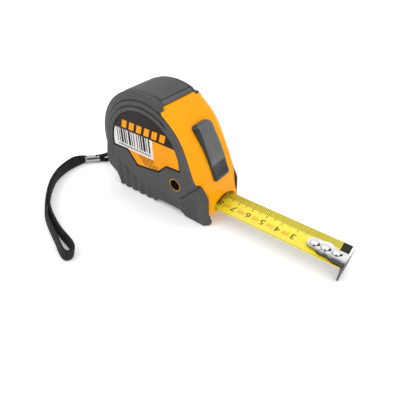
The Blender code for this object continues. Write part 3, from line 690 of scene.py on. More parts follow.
def ferrule():
    """A drawn metal tube with a rolled lip and a bead at each end."""
    span = FERRULE_B - FERRULE_A
    ahead, length = span.normalized(), span.length
    across = ahead.cross(Vector((0, 0, 1)))
    rings = []
    for i in range(41):
        t = i / 40
        near_end = min(t, 1 - t) * length
        lip = 1.0 - 0.16 * max(0.0, 1 - near_end / 0.5) ** 2
        bead = 0.05 * math.exp(-(((near_end - 0.95) / 0.3) ** 2))
        radius = FERRULE_R * (lip + bead)
        middle = FERRULE_A + span * t
        rings.append([middle + (across * c + Vector((0, 0, s))) * radius for c, s in circle(48)])
    return finish(loft("strap_tube", rings, [FERRULE]), "case", "ferrule_metal", "strap_ferrule")


def wrist_strap():
    ring = ferrule()
    loop, path, length = cord_loop()
    ribbon, path, length = wrist_webbing()


studio()
wrist_strap()


# Rubber grip
GRIP_EDGE = [
    (-1.3, 27.2), (-3.7, 27.9), (-5.3, 30.5), (-7.05, 35.5), (-9.55, 43.0), (-12.4, 50.0),
    (-16.6, 56.6), (-21.6, 61.6), (-25.9, 65.2), (-26.7, 67.0),
]
TOE_X, TOE_Z = 2.55, 18.7
GRIP_REAR_SIDE = [(-81.9, 18.5), (-79.5, 13.2), (-76.8, 11.2), (-73.7, 9.0), (-72.0, 4.8), (-71.0, 0.0)]
GRIP_REAR_MIDDLE = [(-82.2, 18.0), (-80.9, 14.0), (-79.3, 11.5), (-79.0, 8.0), (-78.6, 3.0), (-76.0, 0.0)]
LABEL_FOOT = [(-59.15, 32.0), (-51.65, 22.7), (-33.05, 25.1), (-25.75, 31.7)]
FOOT_GROOVE = [(-16.5, 12.6), (-11.85, 17.1), (-7.75, 21.3), (-3.05, 25.6), (-1.15, 27.9)]
CROWN_STEPS = [
    (28.5, 0), (30.8, 0), (31.3, 0.9), (31.7, 1.1), (32.1, 0.75), (34.2, 0.85), (34.6, 1.75),
    (35.0, 1.95), (35.4, 1.6), (37.0, 2.2),
]
FLUTE_PITCH, FLUTE_X, FLUTE_DEPTH = 6.55, -64.6, 1.05
RIB_PITCH, RIB_X = 2.25, -14.2
FLAT_RINGS, ROUND_RINGS = 74, 6
WRAP_Y = (13.1, 12.9, 11.6, 10.4, 9.2, 8.0, 6.8, 5.4, 3.7, 3.4, 1.8, SEAM)
FACE_Y, GRIP_WALL = 15.9, 1.1
PAD_LOW, PAD_HIGH, PAD_SINK = 67.0, 115.5, 1.85
WRAP_START = 67.6
CROWN_DIP, CROWN_RISE = 2.2, (63.5, 71.0)
SCREW_HOLES = {-1: [((-19.85, 21.4), 4.35)], 1: [((-67.0, 16.5), 3.4), ((-23.5, 58.0), 2.45)]}


def grip_columns():
    """Matching columns round one grip half: the outline at its side, the outline at the
    parting plane, the label window's edge, and the kind of each column."""
    def ring(low, high, steps):
        return arc(REEL, LABEL_R, low, high, steps)

    def part(p, q, t):
        return p + (q - p) * t

    start, end = ring(*LABEL_SPAN, 1)
    e, f, a, b = (np.array(p) for p in LABEL_FOOT)
    rear_top = arc(REEL, GRIP_R, 190, 190, 1)[0]
    crown = []
    for angle in np.linspace(65.5, 190, 140):
        dip = CROWN_DIP * (1 - ramp(angle, *CROWN_RISE))
        crown.append(arc(REEL, GRIP_R - dip, angle, angle, 1)[0])
    a4, a6, a66 = part(a, b, 0.4), part(f, a, 0.6), part(f, a, 0.66)
    spans = [
        ("foot", [(-12.5, 0), (TOE_X, 0)], None, [a4, b], 30),
        ("front", [(TOE_X, 0), (TOE_X, TOE_Z)], None, [b, part(b, start, 0.35)], 38),
        ("front", [(TOE_X, TOE_Z), GRIP_EDGE[0]], None, [part(b, start, t) for t in (0.35, 0.5)], 20),
        ("edge", GRIP_EDGE[:2], None, [part(b, start, t) for t in (0.5, 0.8)], 8),
        ("edge", spline(GRIP_EDGE[1:]), None, [part(b, start, 0.8), *ring(LABEL_SPAN[0], 63.0, 60)], 86),
        ("edge", [GRIP_EDGE[-1], crown[0]], None, ring(63.0, 64.5, 4), 7),
        ("crown", crown, None, ring(64.5, LABEL_SPAN[1], 100), 150),
        ("rear", [rear_top, *GRIP_REAR_SIDE], [rear_top, *GRIP_REAR_MIDDLE], [end, e], 62),
        ("base", [(-71.0, 0), (-38.5, 0)], [(-76.0, 0), (-38.5, 0)], [e, f, a6], 64),
        ("base", [(-38.5, 0), (-35.5, 2.8)], None, [a6, a66], 8),
        ("base", [(-35.5, 2.8), (-15.5, 2.8)], None, [a66, a, part(a, b, 0.3)], 36),
        ("base", [(-15.5, 2.8), (-12.5, 0)], None, [part(a, b, 0.3), a4], 8),
    ]
    side, middle, window, kinds = [], [], [], []
    for kind, outer, at_middle, edge, steps in spans:
        side.append(along(outer, steps)[:-1])
        middle.append(along(outer if at_middle is None else at_middle, steps)[:-1])
        window.append(along(edge, steps)[:-1])
        kinds += [kind] * steps
    return np.concatenate(side), np.concatenate(middle), np.concatenate(window), np.array(kinds)


def soften_loop(values, times):
    """Evens out a closed run of values or points."""
    for _ in range(times):
        values = (np.roll(values, 1, 0) + 2 * values + np.roll(values, -1, 0)) / 4
    return values


def polyline_distance(x, z, line):
    best = np.full(x.shape, 1e9)
    for (ax, az), (bx, bz) in zip(line, line[1:]):
        dx, dz = bx - ax, bz - az
        t = np.clip(((x - ax) * dx + (z - az) * dz) / (dx * dx + dz * dz), 0, 1)
        best = np.minimum(best, np.hypot(x - ax - t * dx, z - az - t * dz))
    return best


def side_depth(x, z):
    """How far the side face falls back from its flat: steps round the label, flutes
    along the rear base, and the groove and ribs of the front foot."""
    radius, angle = about_reel(x, z)
    crown = ramp(angle, 44, 60) * (1 - ramp(angle, 186, 206))
    steps = np.interp(radius, *zip(*CROWN_STEPS)) * crown
    wave = 0.5 - 0.5 * np.cos(2 * math.pi * (x - FLUTE_X) / FLUTE_PITCH)
    fluted = ramp(x, -71.5, -68.5) * (1 - ramp(x, -38.4, -36.6)) * (1 - ramp(z, 19, 27))
    clear = 1 - ramp(radius, LABEL_R - 3, LABEL_R - 8)
    flutes = FLUTE_DEPTH * wave ** 1.3 * fluted * clear
    groove = 0.8 * np.exp(-((polyline_distance(x, z, FOOT_GROOVE) / 0.75) ** 2))
    line_z = np.interp(x, *zip(*FOOT_GROOVE))
    in_foot = ramp(x, -15.6, -15.0) * (1 - ramp(x, -3.4, -2.6))
    in_foot *= ramp(z, 0.8, 2.2) * (1 - ramp(z, line_z - 3.4, line_z - 1.8))
    ribs = 0.42 * (0.5 + 0.5 * np.cos(2 * math.pi * (x - RIB_X) / RIB_PITCH)) ** 1.5 * in_foot
    sunk = 0.35 * ramp(x, -36, -34) * (1 - ramp(x, -17.5, -15.5)) * (1 - ramp(z, 10, 16))
    return steps + flutes + groove + ribs + sunk


def side_look(x, z, on_edge):
    """Which finish a spot of the side face has: plain, painted shade in a groove, or glossy with a painted
    highlight on a rim.
    """
    radius, angle = about_reel(x, z)
    if 50 < angle < 200:
        if any(low < radius < low + 0.65 for low in (30.8, 34.3)):
            return 1
        if any(low < radius < low + 0.6 for low in (31.45, 34.95)):
            return 2
    if x > -17 and z < 28 and polyline_distance(np.array(x), np.array(z), FOOT_GROOVE) < 0.42:
        return 1
    return 2 if on_edge else 0


def grip_rings():
    """Rings of one grip half on the +Y side, from the label window outwards, then round the
    case to the parting plane, then folded in beside the orange plastic. Also the columns'
    kinds, the columns that wrap, and how many rings the first two groups have."""
    outer, middle, window, kinds = grip_columns()
    outer, middle = soften_loop(outer, 2), soften_loop(middle, 2)
    count = len(outer)
    tangent = np.roll(outer, -1, 0) - np.roll(outer, 1, 0)
    normal = unit(soften_loop(unit(np.stack([tangent[:, 1], -tangent[:, 0]], 1)), 2))
    z = outer[:, 1]
    front, crown, edge = kinds == "front", kinds == "crown", kinds == "edge"
    # How far the rounding reaches in from the outline, and how far it drops
    inset = soften_loop(np.where(crown, 2.6, np.where(edge, 1.1, 1.2)), 8)
    drop = soften_loop(np.where(crown, 2.0, np.where(edge, 1.0, 1.2)), 8)
    bevel = 1.0 - 0.9 * ramp(z, TOE_Z, GRIP_EDGE[0][1])
    bevel = soften_loop(np.where(front, bevel, 0.0), 1)
    toe = np.where(front, 1.2 * ramp(z, 0.2, 1.4) * (1 - ramp(z, 3.4, 4.4)), 0.0)
    rings = []

    def ring(points, y):
        rings.append(np.stack([points[:, 0], np.broadcast_to(y, count), points[:, 1]], 1))

    ring(window, 16.2)
    ring(window, 17.0)
    towards = unit(outer - window)
    facing = np.clip((towards * normal).sum(1), 0.6, 1.0)
    flat_start = window + towards * 0.12
    flat_end = outer - towards * (inset / facing)[:, None]
    for i in range(FLAT_RINGS + 1):
        p = flat_start + (flat_end - flat_start) * (i / FLAT_RINGS)
        ring(p, GRIP_Y - side_depth(p[:, 0], p[:, 1]) - (0.12 if i == 0 else 0.0))
    edge_y = rings[-1][:, 1]
    for i in range(1, ROUND_RINGS + 1):
        t = i / ROUND_RINGS
        phi = math.pi / 2 * t
        rounded = flat_end + (outer - flat_end) * math.sin(phi)
        straight = flat_end + (outer - flat_end + normal * bevel[:, None]) * t
        y = np.where(front, GRIP_Y - 2.3 * t, edge_y - drop * (1 - math.cos(phi)))
        ring(np.where(front[:, None], straight, rounded), y)
    shared = len(rings)
    last, last_y = rings[-1][:, (0, 2)], rings[-1][:, 1].copy()
    for share in (1 / 3, 2 / 3):
        ring(outer, last_y + (WRAP_Y[0] - last_y) * share)
    for y in WRAP_Y:
        p = outer + (middle - outer) * (1 - ramp(y, 9.0, 13.0))
        angle = about_reel(p[:, 0], p[:, 1])[1]
        under_pad = ramp(angle, PAD_LOW - 0.6, PAD_LOW - 0.1)
        under_pad = under_pad * (1 - ramp(angle, PAD_HIGH + 0.3, PAD_HIGH + 0.8))
        depth = PAD_SINK if y < 13.0 else 0.0
        ring(p - normal * (depth * under_pad)[:, None], y)
    wrapped = len(rings)
    toe_out = np.where(front[:, None], last + normal * toe[:, None], last)
    floor_y = np.where(edge, 15.2, np.where(front & (z > 6), 14.2, 12.9))
    ring(toe_out, last_y - 0.35)
    ring(toe_out, floor_y + 0.3)
    ring(last - normal * 0.15, floor_y)
    ring(last - normal * 1.9, floor_y)
    angle = about_reel(outer[:, 0], z)[1]
    wraps = (kinds == "rear") | (kinds == "base") | (crown & (angle > WRAP_START))
    return np.array(rings), kinds, wraps, shared, wrapped


def grip_half(name, side_sign, node_name):
    rings, kinds, wraps, shared, wrapped = grip_rings()
    rings[:, :, 1] *= side_sign
    rings[:, :, 2] = np.maximum(rings[:, :, 2], 0.0)
    count = len(kinds)
    bm = bmesh.new()
    verts = [[bm.verts.new(p) for p in row] for row in rings]

    def quad(low, high, k):
        j = (k + 1) % count
        return bm.faces.new((verts[low][k], verts[low][j], verts[high][j], verts[high][k]))

    # Grooves take painted shade and rims a painted highlight, chosen by side_look
    for r in range(shared - 1):
        for k in range(count):
            x, _, z = rings[r, k]
            on_edge = kinds[k] == "edge" and r >= shared - 1 - ROUND_RINGS
            quad(r, r + 1, k).material_index = side_look(x, z, on_edge)
    fold = [shared - 1, *range(wrapped, wrapped + 4)]
    wrap = list(range(shared - 1, wrapped))
    for k in range(count):
        rows = wrap if wraps[k] and wraps[(k + 1) % count] else fold
        for low, high in zip(rows, rows[1:]):
            quad(low, high, k)
    slot_cut(bm)
    for centre, radius in SCREW_HOLES[side_sign]:
        round_hole(bm, centre, radius, side_sign)
    bmesh.ops.delete(bm, geom=[v for v in bm.verts if not v.link_faces], context="VERTS")
    bm.normal_update()
    outward = sum(f.normal.y * f.calc_area() for f in bm.faces if abs(f.normal.y) > 0.9)
    if outward * side_sign < 0:
        bmesh.ops.reverse_faces(bm, faces=bm.faces)
    made = emit(name, bm, (RUBBER, GROOVE_SHADE_RUBBER, GLOSS_AND_HIGHLIGHT_RUBBER))
    wall = made.modifiers.new("wall", "SOLIDIFY")
    wall.thickness = GRIP_WALL * MM
    wall.offset = -1.0
    return finish(shade(apply_modifiers(made), 42), "case", "grip_rubber", node_name)


def slot_cut(bm):
    """Opens the rear where the strap's cord goes in."""
    doomed = []
    for face in bm.faces:
        c = face.calc_center_median()
        if c.x < -76 and abs(c.z - PIN[1]) < 4.2 and abs(c.y) < 3.6:
            doomed.append(face)
    bmesh.ops.delete(bm, geom=doomed, context="FACES")


def round_hole(bm, centre, radius, side_sign):
    """Opens a round hole in the side face, with its wall turned inwards."""
    def gap(v):
        return math.hypot(v.co.x - centre[0], v.co.z - centre[1])

    def near(element, reach):
        return all(gap(v) < radius + reach for v in element.verts)

    doomed = []
    for face in bm.faces:
        if face.calc_center_median().y * side_sign > FACE_Y and near(face, 0.2):
            doomed.append(face)
    bmesh.ops.delete(bm, geom=doomed, context="FACES")
    rim = []
    for edge in bm.edges:
        outside = all(v.co.y * side_sign > FACE_Y for v in edge.verts)
        if edge.is_boundary and outside and near(edge, 1.2):
            rim.append(edge)
    for v in {v for edge in rim for v in edge.verts}:
        scale = radius / max(gap(v), 1e-6)
        v.co.x = centre[0] + (v.co.x - centre[0]) * scale
        v.co.z = centre[1] + (v.co.z - centre[1]) * scale
        v.co.y = side_sign * min(abs(v.co.y), GRIP_Y - 0.12)
    for v in bmesh.ops.extrude_edge_only(bm, edges=rim)["geom"]:
        if isinstance(v, bmesh.types.BMVert):
            v.co.y = side_sign * 15.3


grip_half("grip_left", -1, "grip_rubber_left")
grip_half("grip_right", 1, "grip_rubber_right")


# Orange case halves
SOLE = 4.6
SEAM_LINE = 0.02
CAVITY_R = 35.6
SHELL_REAR_SIDE = [(-79.9, 19.5), (-78.0, 15.2), (-75.3, 13.0), (-71.9, 10.4), (-69.9, 5.4), (-69.4, SOLE)]
SHELL_REAR_MIDDLE = [(-80.0, 18.6), (-78.6, 14.8), (-77.1, 12.2), (-76.9, 8.9), (-76.7, 5.8), (-75.6, SOLE)]
MOUTH_HALF = 10.3
MOUTH_FLOOR = (6.75, 9.9)
MOUTH_ROOF = (14.6, 11.2)
FLANK = [(10.8, 0.0), (12.4, 0.0), (12.9, 0.25), (13.5, 0.95), (15.2, 3.6)]
BAND = [
    (12.0, 1.0), (12.6, 0.99), (13.0, 0.965), (13.4, 0.91), (13.9, 0.83), (16.6, 0.33),
    (17.0, 0.25), (17.2, 0.17),
]
SCREWS = [(-19.85, 21.4, -1), (-67.0, 16.5, 1), (-23.5, 58.0, 1)]  # x, z and the head's side
BOSS_R, SEAT_R, SCREW_R, RECESS_R = 3.3, 4.25, 1.6, 3.8
SEAT_TOPS = (17.3, 15.0, 15.0)
CORE_Y = 11.3


def shell_outline(at_side, front_inset=0.0):
    """The plastic's jaw, front arc, crown and rear, which is fuller in the middle."""
    jaw = [(-6.0, SOLE), (2.6, 6.0), (5.2, 8.0), (5.2, 9.8), (3.9, 12.6), (3.2, 18.0)]
    jaw = [(x - front_inset if x > 0 else x, z) for x, z in jaw]
    front = arc(FRONT, FRONT_R - front_inset, 12.5, 55, 48)
    crown = arc(REEL, SHELL_R, 68.0, 190.0, 70)
    rear = SHELL_REAR_SIDE if at_side else SHELL_REAR_MIDDLE
    return np.concatenate([jaw, front, crown, rear])


def cavity_outline():
    front = arc(FRONT, FRONT_R - 2.1, 13.0, 54.0, 24)
    crown = arc(REEL, CAVITY_R, 69.0, 187.0, 48)
    rear = [(-77.4, 24.0), (-75.6, 21.0), (-75.6, 15.8), (-70.6, 12.0), (-68.6, 6.4)]
    return np.concatenate([[(-2.6, 6.4), (-0.6, 12.5)], front, crown, rear])


def label_outline(inset):
    return offset(np.concatenate([arc(REEL, LABEL_R, *LABEL_SPAN, 96), LABEL_FOOT]), inset)


def front_band(name, side):
    """The exposed plastic beside the front face, which slopes back to the rubber."""
    edge = along(spline(GRIP_EDGE[1:]), 44) + GAP
    arm = edge - FRONT
    length = np.linalg.norm(arm, axis=1)[:, None]
    rings = []
    for y, share in BAND:
        reach = length + (FRONT_R - 0.03 - length) * share
        face = (FRONT + arm * reach / length)[::-1]
        rings.append(flat(np.concatenate([edge, face]), side * y))
    return loft(name, rings)


def mouth_cutter(side):
    """The lens-shaped mouth: dished below like the blade, arched above."""
    t = np.linspace(-1, 1, 29)
    ring = []
    for way, (middle, end) in ((1, MOUTH_FLOOR), (-1, MOUTH_ROOF)):
        ring += zip(way * MOUTH_HALF * t, middle + (end - middle) * t * t)
    return loft(f"mouth_{side}", [[(x, y, z) for y, z in ring] for x in (-8.0, 9.0)])


def front_wedge(name, reach, angles, half, steps):
    """A curved bar in the front wall, between two heights over its arc and two angles."""
    inner = arc(FRONT, FRONT_R + reach[0], *angles[::-1], steps)
    outer = arc(FRONT, FRONT_R + reach[1], *angles, steps)
    return prism(name, np.concatenate([outer, inner]), -half, half)


def case_half(name, side, node_name):
    shell = prism(name, shell_outline(False), side * SEAM_LINE, side * CORE_Y, [ORANGE])
    flank = [flat(shell_outline(True, inset), side * y) for y, inset in FLANK]
    steps = [
        ("UNION", loft(f"{name}_flank", flank)),
        ("UNION", prism(f"{name}_platform", label_outline(0.35), side * 14.8, side * 16.25)),
        ("UNION", front_band(f"{name}_band", side)),
        ("DIFFERENCE", prism(f"{name}_cavity", cavity_outline(), -side * 2, side * 13.4)),
    ]

    def bar(kind, part, radius, low, high, count=32):
        made = rod(f"{name}_{part}_{i}", (x, z), radius, side * low, side * high, count)
        steps.append((kind, made))
        return made

    for i, (x, z, head_side) in enumerate(SCREWS):
        headed = head_side == side
        bar("UNION", "boss", BOSS_R, SEAM, 14.0)
        if headed:
            bar("UNION", "seat", SEAT_R, 11.2, SEAT_TOPS[i], 40)
        bar("DIFFERENCE", "hole", SCREW_R, -1, 20 if headed else 11, 24)
        if headed:
            # The recess walls take the dark plastic as painted shade
            bar("DIFFERENCE", "recess", RECESS_R, 12.6, 20, 40).data.materials.append(INNER_AND_RECESS_SHADE)
    steps += [
        ("DIFFERENCE", mouth_cutter(side)),
        ("DIFFERENCE", front_wedge(f"button_slot_{side}", (-5, 3), (19.5, 35.4), 2.9, 14)),
        ("DIFFERENCE", box(f"{name}_channel", (-75.6, -10.4, 6.4), (-60.0, 10.4, 11.6))),
        ("DIFFERENCE", box(f"{name}_lanyard", (-95, -3.4, PIN[1] - 3.8), (-76.9, 3.4, PIN[1] + 3.8))),
    ]
    combine(shell, steps)
    return finish(shade(shell, 24), "case", "abs_orange", node_name)


# Top pad, moulded in its own piece with a polished lip along its front edge, the lip's lighter colour a
# painted highlight
PAD_R = 39.9
LIP_PROFILE = [
    (67.0, 38.3), (67.25, 38.75), (67.6, 39.05), (69.9, 39.75), (70.3, 39.75), (70.5, 39.25),
    (71.1, 39.2), (71.4, 39.75),
]
PAD_EDGE = [
    (12.8, 1.5), (12.75, 0.8), (12.55, 0.4), (12.2, 0.15), (11.6, 0.0), (10.6, 0.0), (9.4, 0.0),
    (6.0, 0.0),
]


def top_pad():
    """A curved block with rounded edges; two short nicks mark its label side."""
    low_angles, low_radii = zip(*LIP_PROFILE)
    angles = np.concatenate([low_angles, np.linspace(71.9, 114.3, 46), [114.9, 115.3, 115.5]])
    radii = np.concatenate([low_radii, [PAD_R] * 46, [PAD_R - 0.1, PAD_R - 0.45, PAD_R - 1.0]])
    rows = [(-y, drop) for y, drop in PAD_EDGE] + [(0.0, 0.0)] + PAD_EDGE[::-1]
    inner = arc(REEL, SHELL_R + GAP, 115.5, 67.0, len(angles) - 1)
    a = np.radians(angles)
    rings = []
    for y, drop in rows:
        r = radii - drop
        if y < -11.0:
            for nick in (72.9, 76.1):
                r = r - 1.0 * np.exp(-(((angles - nick) / 0.75) ** 4))
        outer = np.stack([REEL[0] + r * np.cos(a), REEL[1] + r * np.sin(a)], 1)
        rings.append(flat(np.concatenate([outer, inner]), y))
    pad = loft("top_pad", rings, [RUBBER, GLOSS_AND_HIGHLIGHT_RUBBER], 30)
    # The lip's faces take the glossy rubber, whose lighter colour is a painted highlight
    for face in pad.data.polygons:
        radius, angle = about_reel(face.center.x / MM, face.center.z / MM)
        if angle < 70.4 and radius > 38.0:
            face.material_index = 1
    return finish(pad, "case", "grip_rubber", "top_grip_pad")


# Printed side labels, built up in thin layers
BARS = [1, 2, 1, 1, 3, 1, 2, 1, 1, 2, 3, 1, 1, 2, 1, 3, 1, 2, 1, 1, 2, 1, 3, 1, 1, 2, 2, 1]
BAND_Z = 46.3
WHITE_X, WHITE_Z = -36.3, 32.6
# Depths of the label's back and face, of the print's underside and of its layers' tops; the last is the top
# of the painted edge shadow
LABEL_BACK, LABEL_FACE = 16.28, 16.92
PRINT_FROM, UNDER_PRINT, OVER_PRINT, EDGE_SHADOW_TOP = 16.9, 16.95, 16.98, 16.99


def clip(outline, axis, limit, keep_below):
    """The part of an outline on one side of a line of constant x or z."""
    sign = 1.0 if keep_below else -1.0
    kept = []
    for p, q in zip(outline, np.roll(outline, -1, 0)):
        a, b = sign * (p[axis] - limit), sign * (q[axis] - limit)
        if a <= 0:
            kept.append(p)
        if a * b < 0:
            kept.append(p + (q - p) * (a / (a - b)))
    return np.array(kept)


def slabs(name, outlines, low, high, look):
    """One thin piece made of several closed plates lying on the label."""
    bm = bmesh.new()
    for outline in outlines:
        add_solid(bm, [flat(outline, y) for y in (low, high)])
    return finish(link(name, bm, [look], 0), "case", "label_print")


def quad_bar(x, z, width, height, lean=0.0):
    return [(x, z), (x + width, z), (x + width + lean, z + height), (x + lean, z + height)]


def label_edge(name, side):
    """A black line round the label, a painted shadow of its recess's edge."""
    bm = bmesh.new()
    rows = []
    for y in (PRINT_FROM, EDGE_SHADOW_TOP):
        for inset in (0.3, 1.0):
            rows.append([bm.verts.new(p) for p in flat(label_outline(inset), side * y)])
    for a, b in ((0, 1), (1, 3), (3, 2), (2, 0)):
        add_band(bm, rows[a], rows[b])
    return finish(link(name, bm, [LABEL_EDGE_SHADOW], 0), "case", "label_print")


def side_label(name, side, node_name):
    outline = label_outline(0.3)
    base = prism(name, outline, side * LABEL_BACK, side * LABEL_FACE, [LABEL_ORANGE])
    finish(base, "case", "label_print", node_name)
    # The painted shadow round the label's edge
    label_edge(f"{name}_edge", side)
    face = label_outline(0.6)

    def layer(part, outlines, depth, look):
        slabs(f"{name}_{part}", outlines, side * PRINT_FROM, side * depth, look)

    def bars_at(spots):
        """Bars that run the other way on the far side, so that they read the same."""
        bars = [quad_bar(*spot) for spot in spots]
        return bars if side < 0 else [[(2 * REEL[0] - x, z) for x, z in bar] for bar in bars]

    layer("band", [clip(face, 1, BAND_Z, False)], UNDER_PRINT, LABEL_DARK)
    marks = [(-61.9 + 6.3 * i, 47.7, 4.1, 5.4, 1.7) for i in range(6)]
    layer("marks", bars_at(marks), OVER_PRINT, LABEL_ORANGE)
    if side > 0:
        lines = [(-62.0, 41.5 - 3.1 * i, 26.0 - 5.0 * (i % 2), 0.8) for i in range(5)]
        layer("lines", bars_at(lines), UNDER_PRINT, LABEL_RED)
        return
    white = clip(clip(clip(face, 1, BAND_Z, True), 1, WHITE_Z, False), 0, WHITE_X, True)
    layer("white", [white], UNDER_PRINT, LABEL_WHITE)
    bars, x = [], -66.9
    for i, wide in enumerate(BARS):
        step = 0.55 * wide + 0.18
        if i % 2 == 0:
            bars.append((x, 36.2, step, 10.0))
        x += step
    layer("bars", bars_at(bars), OVER_PRINT, LABEL_DARK)
    ticks = [(-66.5 + 1.36 * i, 34.0, 0.75, 1.3) for i in range(21)]
    layer("ticks", bars_at(ticks), OVER_PRINT, LABEL_DARK)
    strokes = []
    for i in range(6):
        for k in range(9 - (i % 3)):
            wide = 1.1 + 0.3 * ((i + k) % 2)
            strokes.append((-49.6 + 0.9 * i + 1.55 * k, 31.3 - 1.1 * i, wide, 0.55))
    layer("print", bars_at(strokes), UNDER_PRINT, LABEL_RED)


# Lock button
BUTTON_LOW, BUTTON_HIGH = 14.2, 42.0
BUTTON_HALF, BUTTON_CORNER = 7.0, 2.6
BUTTON_PROFILE = [
    (0.0, 0.75), (0.015, 1.5), (0.04, 1.95), (0.07, 2.0), (0.13, 1.75), (0.2, 1.6), (0.27, 1.75),
    (0.34, 2.15), (0.4, 2.3), (0.6, 2.75), (0.75, 3.4), (0.87, 4.15), (0.9, 4.2), (0.93, 3.9),
    (0.985, 1.9), (1.0, 1.2),
]


def on_front(angle, height):
    """Points over the front arc at angles in degrees, raised by heights."""
    a = np.radians(angle)
    r = FRONT_R + height
    return FRONT[0] + r * np.cos(a), FRONT[1] + r * np.sin(a)


def lock_button():
    """A thumb piece with rounded corners, dished low down and raised at the top."""
    stations = np.unique(np.concatenate([np.linspace(0, 1, 60), [t for t, _ in BUTTON_PROFILE]]))
    height = np.interp(stations, *zip(*BUTTON_PROFILE))
    height[1:-1] = (height[:-2] + 2 * height[1:-1] + height[2:]) / 4
    span = (BUTTON_HIGH - BUTTON_LOW) * math.radians(1) * FRONT_R
    rings = []
    for t, top in zip(stations, height):
        short = max(BUTTON_CORNER - min(t, 1 - t) * span, 0)
        pull = BUTTON_CORNER - math.sqrt(max(BUTTON_CORNER ** 2 - short ** 2, 0.0))
        half = BUTTON_HALF - 0.8 * pull
        scoop = 0.35 * ramp(t, 0.02, 0.15) * (1 - ramp(t, 0.3, 0.42))
        # The upper near corner is cut back, so the side wall widens towards the top
        lean = 1.6 * ramp(t, 0.35, 0.9)
        section = [
            (-half, GAP), (-half + 0.02, max(top - 1.4 - lean, 0.5)),
            (-half + 0.5 + lean * 0.7, top - 0.35), (-half + 1.1 + lean * 0.8, top),
            (-half * 0.5, top - scoop), (0, top - 1.3 * scoop), (half * 0.5, top - scoop),
            (half - 1.1 - lean * 0.3, top), (half - 0.5 - lean * 0.2, top - 0.35),
            (half - 0.02, max(top - 1.4, 0.5)), (half, GAP),
        ]
        angle = BUTTON_LOW + (BUTTON_HIGH - BUTTON_LOW) * t
        places = [(y, *on_front(angle, h)) for y, h in section]
        rings.append([(x, y, z) for y, x, z in places])
    button = loft("thumb_button", rings, [BLACK, BUTTON_SHADE])
    combine(button, [("UNION", front_wedge("button_stem", (-2.2, 0.9), (20.0, 31.0), 2.6, 12))])
    round_edges(button, 0.35, 3, 32)
    # Side walls and the low end take painted shade
    for face in button.data.polygons:
        c = face.center / MM
        arm = Vector((c.x - FRONT[0], 0.0, c.z - FRONT[1])).normalized()
        low_end = math.degrees(math.atan2(arm.z, arm.x)) < BUTTON_LOW + 8.0
        if face.normal.dot(arm) < 0.72 or low_end:
            face.material_index = 1
    return finish(shade(button, 30), "lock", "black_plastic", "lock_button")


# Blade and its printed scale
def blade_z(y):
    """Height of the blade's upper face across its width."""
    t = y / BLADE_HALF
    return BLADE_EDGE_Z - BLADE_DISH * (1 - t * t)


TICK_REACH, TICK_WIDTH = (5.2, 4.0, 3.1), (0.38, 0.42, 0.42)
BORDER_Y = -8.95
BLADE_ACROSS = [
    -9.5, BORDER_Y, -8.4, -7.0, -5.5, -4.0, -2.5, -1.0, 0.6, 2.0, 3.1, 4.0, 5.2, 6.0, 7.2, 8.4, 9.5,
]
PATCH_X, PATCH_Y = 77.3, 3.1
# Span of blade painted black under the hook's slots: painted shade seen through them
SLOT_SHADE_SPAN = (63.4, 80.6)


def blade():
    """A dished ribbon whose printed ticks and border are cells of its upper face."""
    count = len(BLADE_ACROSS)
    stops = [BLADE_X0]
    marks = {}
    for mm in range(80, 0, -1):
        x = BLADE_X1 - mm
        kind = 2 if mm % 10 == 0 else 1 if mm % 5 == 0 else 0
        marks[len(stops)] = TICK_REACH[kind]
        stops += [x - TICK_WIDTH[kind] / 2, x + TICK_WIDTH[kind] / 2]
    stops.append(BLADE_X1)
    rings = []
    for x in stops:
        upper = [(x, y, blade_z(y)) for y in BLADE_ACROSS]
        rings.append(upper + [(x, y, z - BLADE_T) for _, y, z in upper[::-1]])
    made = loft("printed_blade", rings, [YELLOW, TICK, OLIVE, BLADE_BACK], 30)
    faces = made.data.polygons
    for r in range(len(stops) - 1):
        x = (stops[r] + stops[r + 1]) / 2
        for i in range(count - 1):
            y = (BLADE_ACROSS[i] + BLADE_ACROSS[i + 1]) / 2
            tick = r in marks and y > marks[r]
            # Under the hook's slots the blade takes the black ink as painted shade
            slot_shade = SLOT_SHADE_SPAN[0] < x < SLOT_SHADE_SPAN[1] and abs(y) < 2.2
            if tick or slot_shade or (x > PATCH_X and y > PATCH_Y):
                faces[r * 2 * count + i].material_index = 1
            elif BLADE_ACROSS[i] == BORDER_Y:
                faces[r * 2 * count + i].material_index = 2
            faces[r * 2 * count + count + i].material_index = 3
    return finish(made, "tape", "blade_yellow", "blade")


def numeral(name, text, x, y, height, look):
    """A printed number lying on the blade, read from the label side."""
    data = bpy.data.curves.new(name, "FONT")
    data.body = text
    data.size = height * 1.4
    data.align_x = "CENTER"
    data.extrude = 0.02
    carrier = place(name, data)
    bpy.context.view_layer.update()
    seen = carrier.evaluated_get(bpy.context.evaluated_depsgraph_get())
    mesh = bpy.data.meshes.new_from_object(seen)
    bpy.data.objects.remove(carrier)
    for v in mesh.vertices:
        px, py = x - v.co.x, y - v.co.y
        v.co = Vector((px, py, blade_z(py) + 0.03 + v.co.z)) * MM
    mesh.materials.clear()
    mesh.materials.append(look)
    return finish(place(name, mesh), "tape", "blade_yellow")


def flat_marks(name, spots, look):
    """Small dashes printed on the blade, as one piece of thin plates."""
    bm = bmesh.new()
    for x, y, wide, deep in spots:
        corners = quad_bar(x, y, wide, deep)
        lifts = (0.01, 0.05)
        add_solid(bm, [[(px, py, blade_z(py) + lift) for px, py in corners] for lift in lifts])
    return finish(link(name, bm, [look], 0), "tape", "blade_yellow")


